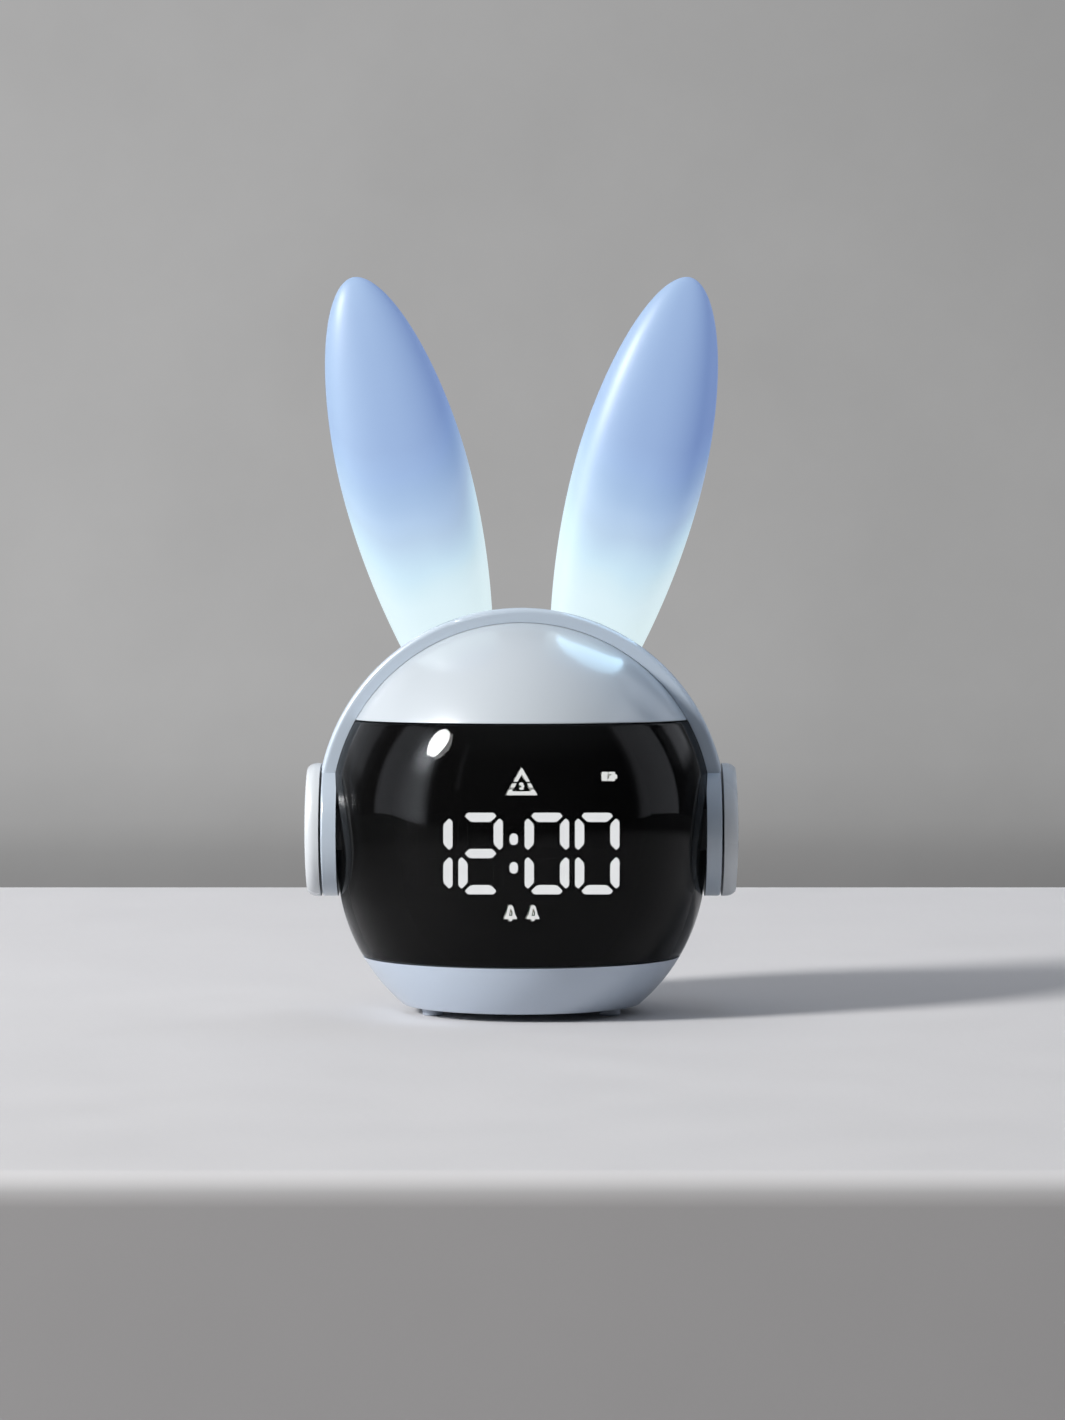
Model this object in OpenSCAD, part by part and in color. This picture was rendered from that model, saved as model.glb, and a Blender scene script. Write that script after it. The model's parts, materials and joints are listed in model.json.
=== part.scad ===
// Alarm clock and night light for a child's room, in millimetres.
// The origin is on the table under the middle of the head, +Z is up,
// the display looks along -Y and the keys are on the +Y side.

/* [Head] */
// Radius of the upper part of the round head
head_r = 46.9; // [46:0.1:48]
// Radius of the lower, fuller part of the head
jowl_r = 45.1; // [44.5:0.1:45.8]
// How far the lower circle's centre lies under the head's centre
jowl_drop = 12.6; // [10.5:0.1:13]
// Height of the head's centre above the table
head_z = 49.2; // [48.8:0.1:49.6]
// Wall of the head's outer shells
wall = 2; // [1.6:0.1:2.2]
// Height of the joint between the base shell and the display lens
chin_z = 14; // [13:0.1:15.5]
// Height of the joint between the display lens and the forehead
brow_z = 71.6; // [70:0.1:74]
// Rounding of the base shell's lower edge
base_edge_r = 1.2; // [0.8:0.1:1.5]

/* [Headband] */
// Thickness of the headband over the head's surface, its gap included
band_t = 3; // [2.9:0.1:3.6]
// Depth of the headband from front to back
band_depth = 16; // [15:0.5:18]
// Rounding of the headband's outer edges
band_edge_r = 1.3; // [0.8:0.1:2]

/* [Ear cups] */
// Radius of the ear cups
cup_r = 16.3; // [15.5:0.1:17.5]
// How far the cups' centre lies under the head's centre
cup_drop = 4.5; // [3.5:0.1:5]
// How far the cup ring's outer face stands out over the head's side
ring_proud = 1.7; // [1.3:0.1:2]
// Rounding of the cup ring's edges
ring_edge_r = 0.5; // [0.3:0.1:0.8]
// Thickness of a cup button at its middle
cap_t = 4; // [3.6:0.1:4.3]
// Rounding of a cup button's outer edge
cap_edge_r = 3; // [2:0.1:3.3]
// Radius of the dome on a cup button's face
cap_dome_r = 160; // [120:5:250]
// Radius of a cup button's stem
stem_r = 5; // [4.5:0.1:5.4]
// How far a cup button can be pushed in
cup_travel = 0.4; // [0.4:0.1:0.8]

/* [Ears] */
// Length of an ear along its own axis
ear_len = 88.5; // [80:0.5:95]
// Half of an ear's greatest width
ear_half_w = 15.9; // [15:0.1:17]
// Half of an ear's width at its root
ear_root_half_w = 12.05; // [11.6:0.05:12.6]
// Height along the ear where it is widest
ear_wide_at = 37.5; // [34:0.5:42]
// Depth of an ear as a share of its width
ear_depth_ratio = 0.6; // [0.56:0.01:0.64]
// Wall of an ear
ear_wall = 1.6; // [1.2:0.1:1.7]
// How far an ear leans outwards from the vertical
ear_tilt = 14.8; // [12:0.1:17]
// Distance from the middle of the head to an ear's root
ear_x = 18.8; // [18:0.1:20]
// How deep the middle of an ear's root lies under the headband's surface
ear_sink = 1.1; // [0.6:0.1:1.6]
// Radius of the tube that carries an ear
tube_r = 4.6; // [4.2:0.1:4.8]
// Radius of the cable hole in that tube
tube_bore_r = 3.4; // [2.8:0.1:3.5]

/* [Display] */
// Depth of the screen mask's front behind the foremost point of the lens
screen_depth = 14.5; // [14:0.1:15]
// Height of the middle of the digits above the table
digits_z = 40.7; // [40:0.1:42]
// Sideways place of the colon between the digits
colon_x = -1.75; // [-2.2:0.05:-1]
// Distance between two digits that stand side by side
digit_pitch = 11.95; // [11.6:0.05:12.1]
// Distance across one digit between its upright bars' middles
digit_w = 8.37; // [8:0.01:8.5]
// Distance between one digit's level bars' middles
digit_row = 8.6; // [8.2:0.1:8.8]
// Length of one lit bar
bar_len = 7.6; // [7.2:0.1:7.7]
// Width of one lit bar
bar_w = 2.2; // [2:0.1:2.5]
// Distance from the colon to the next upright bar's middle
colon_gap = 3.69; // [3.4:0.01:3.9]
// Width of the triangle sign over the digits
sign_w = 7.6; // [6.5:0.1:8.5]
// Height of the triangle sign over the digits
sign_h = 6.7; // [6:0.1:7.4]

/* [Rear panel] */
// Width of the flat panel at the back
panel_w = 38; // [37:0.5:39]
// Height of the flat panel at the back
panel_h = 21; // [20.5:0.5:22]
// Rounding of the panel's corners
panel_corner_r = 6; // [5:0.5:7]
// Depth of the panel's outer face under the round back of the head
panel_depth = 4.4; // [4.2:0.1:4.6]
// Radius of a rear key
key_r = 2.8; // [2.6:0.1:3]
// Distance between two rear keys
key_pitch = 9; // [8.6:0.1:9.2]
// How far a rear key stands out of the panel
key_proud = 1.2; // [0.9:0.1:1.5]
// How far a rear key can be pushed in
key_travel = 0.6; // [0.4:0.1:0.7]
// How far the power slide moves
slide_travel = 2; // [1.5:0.1:2.4]

/* [Base] */
// Height of the feet, which is the height of the base above the table
foot_h = 2; // [1.8:0.1:2.4]
// Radius of a foot
foot_r = 2.6; // [2.2:0.1:2.8]
// Distance from the middle to each foot
foot_circle_r = 23.6; // [23:0.1:24]
// Radius of the round base plate
plate_r = 27; // [26.8:0.1:27.3]
// Thickness of the base plate
plate_t = 2.5; // [2.3:0.1:2.7]
// Radius of the loudspeaker
speaker_r = 14; // [12.5:0.5:15]

/* [Inside] */
// Radius of the battery cell
cell_r = 7.1; // [6.8:0.1:7.2]
// Length of the battery cell
cell_len = 49; // [46:0.5:49.5]
// Thickness of the frame plate across the middle of the head
chassis_t = 2; // [1.8:0.1:2.2]
// Thickness of the circuit boards
board_t = 1.4; // [1:0.1:1.6]

/* [Fits] */
// Gap between two shells at a visible joint
seam = 0.3; // [0.2:0.05:0.4]
// Running gap all round a key or stem that slides
slide_gap = 0.1; // [0.05:0.01:0.1]
// Gap between fixed pieces that seat on each other
seat_gap = 0.1; // [0.05:0.01:0.15]

/* [Hidden] */
$fn = 96;

// Longer than the whole object, for cuts that go right through
reach = 300;
jowl_z = head_z - jowl_drop;
head_top = head_z + head_r;
// The strip between the two circles leans in by this angle
strip_lean = asin((head_r - jowl_r) / jowl_drop);
cup_z = head_z - cup_drop;
band_r = head_r + band_t;
ring_face_x = head_r + ring_proud;
ear_rise = sqrt(pow(band_r, 2) - pow(ear_x, 2)) - ear_sink;
screen_y = head_r - screen_depth;
panel_y = head_r - panel_depth;
// The cup rings start this far out, inside the head's surface
ring_root_x = head_r - wall;

// Frame plate and the mask's shell, both just inside the outer shells
mask_inset = wall + 0.2;
mask_wall = 1.2;
mask_lap = 3;
chassis_inset = mask_inset + mask_wall + seat_gap;
chassis_top_gap = 18;
chassis_top_z = head_top - chassis_top_gap;
chassis_half = chassis_t / 2;
speaker_bay_half = speaker_r + 3;
// Window for the cables, its lower and upper edges measured from the head's centre
window_half_w = 15;
window_low = -11;
window_high = 10;
ledge_r = 20;
ledge_z = foot_h + plate_t + seat_gap;
ledge_t = 1.6;
speaker_bay_h = 10.4;
speaker_bay_z = ledge_z + speaker_bay_h;

// Cup button, measured along the cups' axis from the middle of the head
cup_groove = cup_travel + slide_gap;
cap_back_x = ring_face_x + cup_groove;
cap_face_x = cap_back_x + cap_t;
clip_t = 0.7;
clip_r = stem_r + 2;
clip_room = 1.5;
clip_x = head_r - wall - clip_room - clip_t;
clip_groove_r = stem_r - 0.8;
stem_tail = 1.3;
stem_end_x = clip_x - stem_tail;
plunger_r = 1.75;
plunger_tip_x = stem_end_x - cup_travel - slide_gap / 2;
switch_w = 6.2;
switch_h = 3.2;
plunger_h = 1.2;
switch_back_x = plunger_tip_x - plunger_h - switch_h;
switch_board_w = 12;
stem_hole_r = stem_r + 0.3;

// Ears: powers of the outline's curve and the roundness of its sections
tip_power = 1.864;
side_power = 1.893;
section_power = 2.4;
ear_rings = 20;
ear_sides = 28;
ear_root_z = head_z + ear_rise;
// The head's centre in an ear's own frame
root_cx = ear_rise * sin(ear_tilt) - ear_x * cos(ear_tilt);
root_cz = -ear_rise * cos(ear_tilt) - ear_x * sin(ear_tilt);
plug_r = 5.2;
plug_top = 5.5;
plug_bar_w = 14;
plug_bar_d = 6;
ear_board_t = 1;
ear_led_w = 2.4;
ear_led_h = 1.2;
nut_r = 8;
nut_drop = 10;
tube_drop = 12;

// Display stack, from the mask's flat window backwards
mask_t = 1;
bar_gap = 0.05;
outer_cut = 0.75;
inner_cut = 1.45;
tip_shift = 0.3;
upright_shift = 4.6;
dot_w = 2;
dot_h = 2.7;
dot_rise = 3.4;
reflector_t = 5.2;
reflector_front_y = -screen_y + mask_t + seat_gap;
reflector_back_y = reflector_front_y + reflector_t;
display_board_y = reflector_back_y + seat_gap;
display_board_back_y = display_board_y + board_t;
stack_margin = 1.4;
led_w = 1.6;
led_d = 0.8;
sign_rise = 13.85;
sign_base_z = digits_z + sign_rise;
sign_stroke = 0.95;
sign_break_z = 2.9;
sign_break_h = 0.35;
sign_dot_r = 0.75;
sign_dot_z = sign_h * 0.34;
bell_x = 2.65;
bell_drop = 16.3;
bell_base_z = digits_z - bell_drop;
bell_mid = 2.2;
bell_mid_z = bell_base_z + bell_mid;
charge_x = 20.9;
charge_rise = 18.3;
charge_z = digits_z + charge_rise;
charge_w = 3.7;
charge_h = 2.2;
charge_pole = 0.5;
charge_lap = 0.1;
// Light wells behind the signs
sign_well_r = sign_h * 0.24;
charge_well = [2.6, 1.8];
bell_well = [2, 2.8];
// Heights of the frame plate's posts behind the display board
display_post_z = [digits_z - 4, sign_base_z + 5];
shown_digits = [1, 2, 0, 0];
// Bars of the figures 0, 1 and 2, counted clockwise from the top, then the middle
bars_of = [[0, 1, 2, 3, 4, 5], [1, 2], [0, 1, 3, 4, 6]];
digit_x = [
    colon_x - colon_gap - digit_w / 2 - digit_pitch,
    colon_x - colon_gap - digit_w / 2,
    colon_x + colon_gap + digit_w / 2,
    colon_x + colon_gap + digit_w / 2 + digit_pitch
];

// Shell screws, front to back through the frame plate
shell_screw_x = 30;
shell_screw_up = 23.1;
shell_screw_down = 24.9;
screw_boss_r = 3.4;
screw_tube_r = 3.8;
screw_bore_r = 1.5;
screw_r = 1.3;
screw_head_r = 2.4;
screw_head_h = 1.6;
screw_sink_r = 2.7;
screw_seat_y = 14;
screw_tip_y = -10;

// Rear panel and its board
panel_t = 1.8;
panel_rim_t = 1.5;
collar_t = 1.5;
collar_depth = 4.3;
collar_end_y = panel_y - collar_depth;
panel_flange = collar_t + 1;
panel_flange_t = 1.2;
key_row = 4.2;
key_flange = 0.7;
key_flange_t = 0.9;
key_flange_y = panel_y - panel_t - 0.2 - key_flange_t;
key_stem_r = 1.5;
key_edge_r = 0.6;
key_switch_w = 6;
key_switch_h = 3;
key_plunger_r = 1.6;
key_plunger_h = 0.5;
key_board_y = panel_y - 8.5 - board_t;
key_board_front_y = key_board_y + board_t;
key_stem_end_y = key_board_front_y + key_switch_h + key_plunger_h + key_travel + slide_gap / 2;
key_board_half_w = 19;
key_board_half_h = 12;
panel_post_r = 2;
// Sideways place and height of each screw post, from the panel's middle
panel_posts = [
    [-panel_w / 2 + 3.3, -panel_h / 2 + 3.3],
    [panel_w / 2 - 3.3, -panel_h / 2 + 3.3],
    [0, panel_h / 2 - 2.1]
];
control_row = -4.8;
control_x = 6.5;
slot_w = 2.6;
knob_neck_w = 2;
knob_neck_h = 2.2;
knob_cap = 3;
knob_cap_h = 1;
knob_foot_w = 4.6;
knob_foot_h = 3;
knob_foot_t = 0.8;
power_body_w = 8.6;
power_body_h = 3.6;
power_body_t = 3;
usb_w = 8.94;
usb_h = 3.26;
usb_len = 7.3;
usb_wall = 0.3;
usb_tongue_w = 6.7;
usb_tongue_t = 0.7;
usb_recess = 0.3;

// Main board behind the frame plate
main_post_h = 4;
main_board_y = chassis_half + main_post_h + seat_gap;
main_half_w = 22;
main_below = 16.3;
main_above = 15.7;
main_low_z = head_z - main_below;
main_high_z = head_z + main_above;
main_post_x = 19;
main_post_inset = 3;
main_post_r = 2.2;
board_screw_len = 5;
board_screw_r = 1;
board_hole_r = board_screw_r + 0.2;
// Chips: left edge and lower edge from the head's centre, width, height and depth
chips = [[-10, -6, 9, 9, 1.2], [4, -2, 6, 4, 1.4], [5, -11, 4, 4, 1], [-16, 6, 8, 3, 3]];
connector_w = 6;
connector_h = 4;
connector_t = 4.5;
connector_x = 13;
connector_inset = 1.5;
plug_rise = 6;
plug_x = 15;
can_rise = 10;
can_r = 2.5;
can_h = 6;

// Battery, lying across the head behind the frame plate
cell_y = 14;
cell_rise = 18;
cell_z = ledge_z + cell_rise;
cell_gap = 0.2;
holder_depth = cell_y + cell_r + 1.4 - chassis_half;
holder_half_w = cell_len / 2 + 2.4;
cell_tab_shift = cell_r * 0.2;
holder_gap = 0.3;
holder_low_z = cell_z - cell_r - 0.9;
holder_high_z = cell_z - 2.5;
// The holder's corners stay inside the round shell at the height of its underside
holder_corner_r = sqrt(pow(jowl_r - mask_inset - mask_wall, 2) - pow(jowl_z - holder_low_z, 2)) - holder_gap;
strap_w = 10;
strap_t = 0.8;

// Base plate, its screws and the loudspeaker's openings
plate_screw_circle_r = 22;
plate_boss_r = 3;
plate_boss_top_z = ledge_z + 7.4;
plate_sink = 1.2;
plate_pilot_cap = 2;
plate_screw_len = plate_boss_top_z - plate_pilot_cap - 2 * seat_gap - foot_h - plate_sink;
foot_angle = 24.4;
foot_plug_r = 1.5;
foot_plug_h = 1.2;
foot_edge_r = 0.6;
grille_hole_r = 0.9;
grille_rings = [[0, 1], [4, 6], [8, 12]];
speaker_h = 8;
magnet_share = 0.56;

wire_r = 0.6;
wire_sides = 8;

shell_blue = "#cfd9e6";
cup_blue = "#bccbe0";
glow_blue = "#a8c4ee";
board_green = "#1f6b45";
steel = "#c8ccd0";

// ---------------------------------------------------------------- helpers

// Half outline of the head about its upright axis: x is the radius, y the height.
// The strip between the circles touches them smoothly, or where lean is 0 runs straight
// from the one's widest place to the other's.
module head_outline(inset, lean = strip_lean) {
    upper = head_r - inset;
    lower = jowl_r - inset;
    upper_z = head_z - upper * sin(lean);
    lower_z = jowl_z - lower * sin(lean);
    intersection() {
        translate([0, head_z]) circle(upper);
        translate([0, upper_z]) square(2 * head_r);
    }
    polygon([
        [0, lower_z], [lower * cos(lean), lower_z],
        [upper * cos(lean), upper_z], [0, upper_z]
    ]);
    intersection() {
        translate([0, jowl_z]) circle(lower);
        translate([0, foot_h]) square([2 * head_r, lower_z - foot_h]);
    }
}

// The same outline with its lower edge rounded, as the base shell has it
module rounded_outline() {
    centre_z = jowl_z - foot_h - base_edge_r;
    centre_x = sqrt(pow(jowl_r - base_edge_r, 2) - pow(centre_z, 2));
    grow = jowl_r / (jowl_r - base_edge_r);
    touch_x = centre_x * grow;
    touch_z = jowl_z - centre_z * grow;
    intersection() {
        head_outline(0);
        translate([0, touch_z]) square([2 * head_r, 3 * head_r]);
    }
    polygon([[0, foot_h], [centre_x, foot_h], [touch_x, touch_z], [0, touch_z]]);
    intersection() {
        translate([centre_x, foot_h + base_edge_r]) circle(base_edge_r);
        translate([centre_x - base_edge_r / 2, 0]) square([3 * base_edge_r, touch_z]);
    }
}

// A band of the head's skin between two heights
module skin_outline(low, high, inset, thick, lean) {
    intersection() {
        difference() {
            head_outline(inset, lean);
            head_outline(inset + thick, lean);
        }
        translate([0, low]) square([2 * head_r, high - low]);
    }
}

module head_skin(low, high, inset, thick, lean = strip_lean) {
    rotate_extrude() skin_outline(low, high, inset, thick, lean);
}

module head_solid(inset, lean = strip_lean) {
    rotate_extrude() head_outline(inset, lean);
}

module front_half() {
    translate([-reach / 2, -reach, -1]) cube([reach, reach - seam / 2, reach]);
}

module rear_half() {
    translate([-reach / 2, seam / 2, -1]) cube([reach, reach, reach]);
}

// Along the cups' axis, with +Z pointing out of the right-hand cup
module at_right_cup() {
    translate([0, 0, cup_z]) rotate([0, 90, 0]) children();
}

module left_of() {
    mirror([1, 0, 0]) children();
}

// In the right ear's own frame, with +Z along the ear
module at_right_ear() {
    translate([ear_x, 0, ear_root_z]) rotate([0, ear_tilt, 0]) children();
}

// Along +Y from the given place on the head's upright middle plane
module facing_back(x, y, z) {
    translate([x, y, z]) rotate([-90, 0, 0]) children();
}

module stem_holes(radius) {
    for (side = [0, 1]) mirror([side, 0, 0]) at_right_cup()
        translate([0, 0, head_r / 2]) cylinder(h = head_r, r = radius);
}

module ear_tube_holes() {
    for (side = [0, 1]) mirror([side, 0, 0]) at_right_ear()
        translate([0, 0, -tube_drop - 2]) cylinder(h = tube_drop + 8, r = tube_r + seat_gap);
}

module at_shell_screws() {
    for (x = [-shell_screw_x, shell_screw_x])
        for (z = [head_z - shell_screw_down, head_z + shell_screw_up])
            translate([x, 0, z]) children();
}

module at_plate_screws() {
    for (i = [0:3]) rotate([0, 0, 45 + 90 * i]) translate([plate_screw_circle_r, 0, 0]) children();
}

module at_feet() {
    for (angle = [foot_angle, 180 - foot_angle, 180 + foot_angle, -foot_angle])
        rotate([0, 0, angle]) translate([foot_circle_r, 0, 0]) children();
}

// Pan-head screw that hangs down from its head's seat at the origin
module screw(length, radius, head_r, head_h) {
    difference() {
        cylinder(h = head_h, r = head_r);
        for (turn = [0, 90]) rotate([0, 0, turn])
            translate([-head_r * 0.6, -head_r * 0.12, head_h * 0.45])
                cube([head_r * 1.2, head_r * 0.24, head_h]);
    }
    translate([0, 0, -length]) cylinder(h = length + 0.01, r = radius);
}

function unit(v) = v / norm(v);

// Round wire through a list of points; side is any direction that it never runs along
module wire(points, radius, side) {
    last = len(points) - 1;
    rings = [for (i = [0:last])
        let (
            run = unit(points[min(i + 1, last)] - points[max(i - 1, 0)]),
            across = unit(cross(side, run)),
            over = cross(run, across)
        )
        [for (k = [0:wire_sides - 1])
            points[i] + radius * (across * cos(360 * k / wire_sides) + over * sin(360 * k / wire_sides))]
    ];
    loft(rings, wire_sides);
}

// Closed solid through a list of rings that all have the same number of points
module loft(rings, sides) {
    last = len(rings) - 1;
    spots = [for (ring = rings) for (p = ring) p];
    strips = [for (i = [0:last - 1]) for (k = [0:sides - 1])
        let (a = i * sides + k, b = i * sides + (k + 1) % sides)
        for (half = [0, 1]) half == 0 ? [a, a + sides, b] : [b, a + sides, b + sides]];
    start = [for (k = [1:sides - 2]) [0, k, k + 1]];
    end = [for (k = [1:sides - 2]) [last * sides, last * sides + k + 1, last * sides + k]];
    polyhedron(spots, concat(strips, start, end));
}

// ---------------------------------------------------------------- head shells

module forehead_shell() {
    color(shell_blue) difference() {
        intersection() {
            head_skin(brow_z + seam / 2, head_top, 0, wall);
            front_half();
        }
        ear_tube_holes();
    }
}

module display_lens() {
    color("#101114") difference() {
        intersection() {
            head_skin(chin_z + seam / 2, brow_z - seam / 2, 0, wall);
            front_half();
        }
        stem_holes(stem_hole_r);
    }
}

module base_shell() {
    color(shell_blue) difference() {
        union() {
            rotate_extrude() difference() {
                intersection() {
                    rounded_outline();
                    union() {
                        difference() {
                            translate([0, foot_h]) square([2 * head_r, chin_z - seam / 2 - foot_h]);
                            head_outline(wall);
                        }
                        translate([ledge_r, ledge_z]) square([head_r, ledge_t]);
                    }
                }
                square([plate_r + seat_gap, ledge_z]);
            }
            at_plate_screws() translate([0, 0, ledge_z])
                cylinder(h = plate_boss_top_z - ledge_z, r = plate_boss_r);
        }
        at_plate_screws() translate([0, 0, ledge_z - 1])
            cylinder(h = plate_boss_top_z - plate_pilot_cap - ledge_z + 1, r = screw_r + seat_gap / 2);
    }
}

module rear_shell() {
    color(shell_blue) difference() {
        union() {
            intersection() {
                union() {
                    head_skin(chin_z + seam / 2, head_top, 0, wall);
                    head_skin(chin_z + seam / 2, chin_z + mask_lap, wall - 0.1, mask_wall + 0.2);
                    head_skin(chin_z - mask_lap, chin_z + mask_lap, mask_inset, mask_wall);
                    intersection() {
                        head_solid(wall / 2);
                        at_shell_screws() facing_back(0, chassis_half + seat_gap, 0)
                            cylinder(h = head_r, r = screw_tube_r);
                    }
                }
                rear_half();
            }
            panel_collar();
        }
        at_shell_screws() {
            facing_back(0, 0, 0) cylinder(h = head_r, r = screw_bore_r);
            facing_back(0, screw_seat_y, 0) cylinder(h = head_r, r = screw_sink_r);
        }
        facing_back(0, head_r / 2, head_z) linear_extrude(head_r) panel_outline(seat_gap);
        stem_holes(stem_hole_r);
        ear_tube_holes();
    }
}

// Block inside the rear shell, which the panel's opening turns into a collar
module panel_collar() {
    intersection() {
        head_solid(wall / 2);
        facing_back(0, collar_end_y, head_z) linear_extrude(head_r) panel_outline(collar_t);
    }
}

// ---------------------------------------------------------------- headband and cups

module band_section() {
    half = band_depth / 2;
    inner = head_r - wall / 2;
    difference() {
        translate([inner, -half]) square([band_r - inner, band_depth]);
        for (up = [-1, 1]) translate([band_r - band_edge_r, up * (half - band_edge_r)])
            difference() {
                translate([0, up > 0 ? 0 : -2 * band_edge_r]) square(2 * band_edge_r);
                circle(band_edge_r);
            }
    }
}

module ring_section() {
    difference() {
        square([cup_r, ring_face_x]);
        translate([cup_r - ring_edge_r, ring_face_x - ring_edge_r]) difference() {
            square(2 * ring_edge_r);
            circle(ring_edge_r);
        }
    }
}

module headband() {
    color(cup_blue) difference() {
        union() {
            intersection() {
                translate([0, 0, head_z]) rotate([90, 0, 0]) rotate_extrude() band_section();
                translate([-ring_face_x, -band_depth, head_z])
                    cube([2 * ring_face_x, 2 * band_depth, 2 * band_r]);
            }
            for (side = [0, 1]) mirror([side, 0, 0]) at_right_cup()
                intersection() {
                    rotate_extrude() ring_section();
                    translate([-reach / 2, -reach / 2, ring_root_x]) cube([reach, reach, reach]);
                }
        }
        head_solid(-seat_gap);
        stem_holes(stem_r + slide_gap);
        ear_tube_holes();
    }
}

module cup_button() {
    at_right_cup() rotate_extrude() union() {
        intersection() {
            translate([0, cap_back_x]) square([cup_r, cap_t]);
            translate([0, cap_face_x - cap_dome_r]) circle(cap_dome_r, $fn = 360);
            union() {
                translate([0, cap_back_x]) square([cup_r - cap_edge_r, cap_t]);
                translate([0, cap_back_x]) square([cup_r, cap_t - cap_edge_r]);
                translate([cup_r - cap_edge_r, cap_face_x - cap_edge_r]) circle(cap_edge_r);
            }
        }
        difference() {
            translate([0, stem_end_x]) square([stem_r, cap_back_x - stem_end_x + 0.1]);
            translate([clip_groove_r, clip_x - seat_gap]) square([stem_r, clip_t + 2 * seat_gap]);
        }
    }
}

module button_clip() {
    at_right_cup() translate([0, 0, clip_x]) difference() {
        cylinder(h = clip_t, r = clip_r);
        translate([0, 0, -1]) cylinder(h = clip_t + 2, r = clip_groove_r + seat_gap / 2);
        translate([-clip_groove_r * 0.7, 0, -1]) cube([clip_groove_r * 1.4, clip_r + 1, clip_t + 2]);
    }
}

module cup_switch() {
    at_right_cup() {
        translate([-switch_w / 2, -switch_w / 2, switch_back_x]) cube([switch_w, switch_w, switch_h]);
        translate([0, 0, switch_back_x]) cylinder(h = switch_h + plunger_h, r = plunger_r);
    }
}

module switch_board() {
    at_right_cup() translate([-switch_board_w / 2, -switch_board_w / 2, switch_back_x - seat_gap - board_t])
        cube([switch_board_w, switch_board_w, board_t]);
}

module left_cup_button() { color("#eef2f7") left_of() cup_button(); }
module right_cup_button() { color("#eef2f7") cup_button(); }
module left_button_clip() { color(steel) left_of() button_clip(); }
module right_button_clip() { color(steel) button_clip(); }
module left_cup_switch() { color("#2a2a2c") left_of() cup_switch(); }
module right_cup_switch() { color("#2a2a2c") cup_switch(); }
module left_switch_board() { color(board_green) left_of() switch_board(); }
module right_switch_board() { color(board_green) switch_board(); }

// ---------------------------------------------------------------- ears

// Half width of an ear at height u, drawn in from its outside by inset
function ear_half(u, inset) =
    u > ear_wide_at
        ? (ear_half_w - inset) * pow(1 - pow((u - ear_wide_at) / (ear_len - inset - ear_wide_at), tip_power),
            1 / side_power)
        : ear_half_w - inset - (ear_half_w - ear_root_half_w) * pow((ear_wide_at - u) / ear_wide_at, 2);

// Half depth of an ear at height u, drawn in from its outside by inset
function ear_deep(u, inset) =
    (ear_half(u, 0) * ear_depth_ratio - inset) * ear_half(u, inset) / ear_half(u, 0);

// Height at which the ear's wall meets the headband, w to the side of its axis
function root_at(w) = root_cz + sqrt(pow(band_r + seat_gap, 2) - pow(w - root_cx, 2));

function rounded(value, power) = sign(value) * pow(abs(value), 2 / power);

// Width and height are tied together at the root, so the width is found in three steps
function root_w(c, inset, steps) =
    steps == 0 ? ear_root_half_w * c : ear_half(root_at(root_w(c, inset, steps - 1)), inset) * c;

function ear_ring(share, inset) = [for (k = [0:ear_sides - 1])
    let (
        c = rounded(cos(360 * k / ear_sides), section_power),
        s = rounded(sin(360 * k / ear_sides), section_power),
        low = root_at(root_w(c, inset, 3)),
        u = low + (ear_len - inset - low) * sin(90 * share)
    )
    [ear_half(u, inset) * c, ear_deep(u, inset) * s, u]];

module ear() {
    step = 1 / (ear_rings + 0.3);
    outside = [for (i = [ear_rings:-1:0]) ear_ring(i * step, 0)];
    inside = [for (i = [0:ear_rings - 2]) ear_ring(i * step, ear_wall)];
    at_right_ear() loft(concat(outside, inside), ear_sides);
}

module ear_socket() {
    at_right_ear() difference() {
        union() {
            intersection() {
                union() {
                    cylinder(h = plug_top, r = plug_r);
                    translate([-plug_bar_w / 2, -plug_bar_d / 2, -plug_bar_d]) cube([plug_bar_w, plug_bar_d,
                        plug_bar_d + plug_top]);
                }
                difference() {
                    translate([-plug_bar_w, -plug_bar_w, -plug_bar_d]) cube(2 * plug_bar_w);
                    translate([root_cx, 0, root_cz]) rotate([90, 0, 0])
                        cylinder(h = 2 * plug_bar_w, r = band_r + seat_gap, center = true, $fn = 360);
                }
            }
            translate([0, 0, -tube_drop]) cylinder(h = tube_drop + plug_top / 2, r = tube_r);
        }
        translate([0, 0, -tube_drop - 1]) cylinder(h = tube_drop + plug_top + 2, r = tube_bore_r);
    }
}

module ear_nut() {
    difference() {
        intersection() {
            at_right_ear() translate([0, 0, -nut_drop]) cylinder(h = nut_drop, r = nut_r);
            head_solid(wall + seat_gap);
        }
        at_right_ear() translate([0, 0, -nut_drop - 1])
            cylinder(h = nut_drop + 2, r = tube_r + seat_gap / 2);
    }
}

module ear_board() {
    at_right_ear() translate([0, 0, plug_top + seat_gap]) difference() {
        cylinder(h = ear_board_t, r = plug_r - seat_gap);
        translate([0, 0, -1]) cylinder(h = ear_board_t + 2, r = wire_r + seat_gap);
    }
}

module ear_leds() {
    low = plug_top + seat_gap + ear_board_t + seat_gap / 2;
    at_right_ear() for (turn = [0, 120, 240]) rotate([0, 0, turn])
        translate([plug_r / 2 - ear_led_w / 2, -ear_led_w / 2, low])
            cube([ear_led_w, ear_led_w, ear_led_h]);
}

// A point on the right ear's axis, u along it from its root
function on_ear_axis(u) = [ear_x + u * sin(ear_tilt), 0, ear_root_z + u * cos(ear_tilt)];

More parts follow.
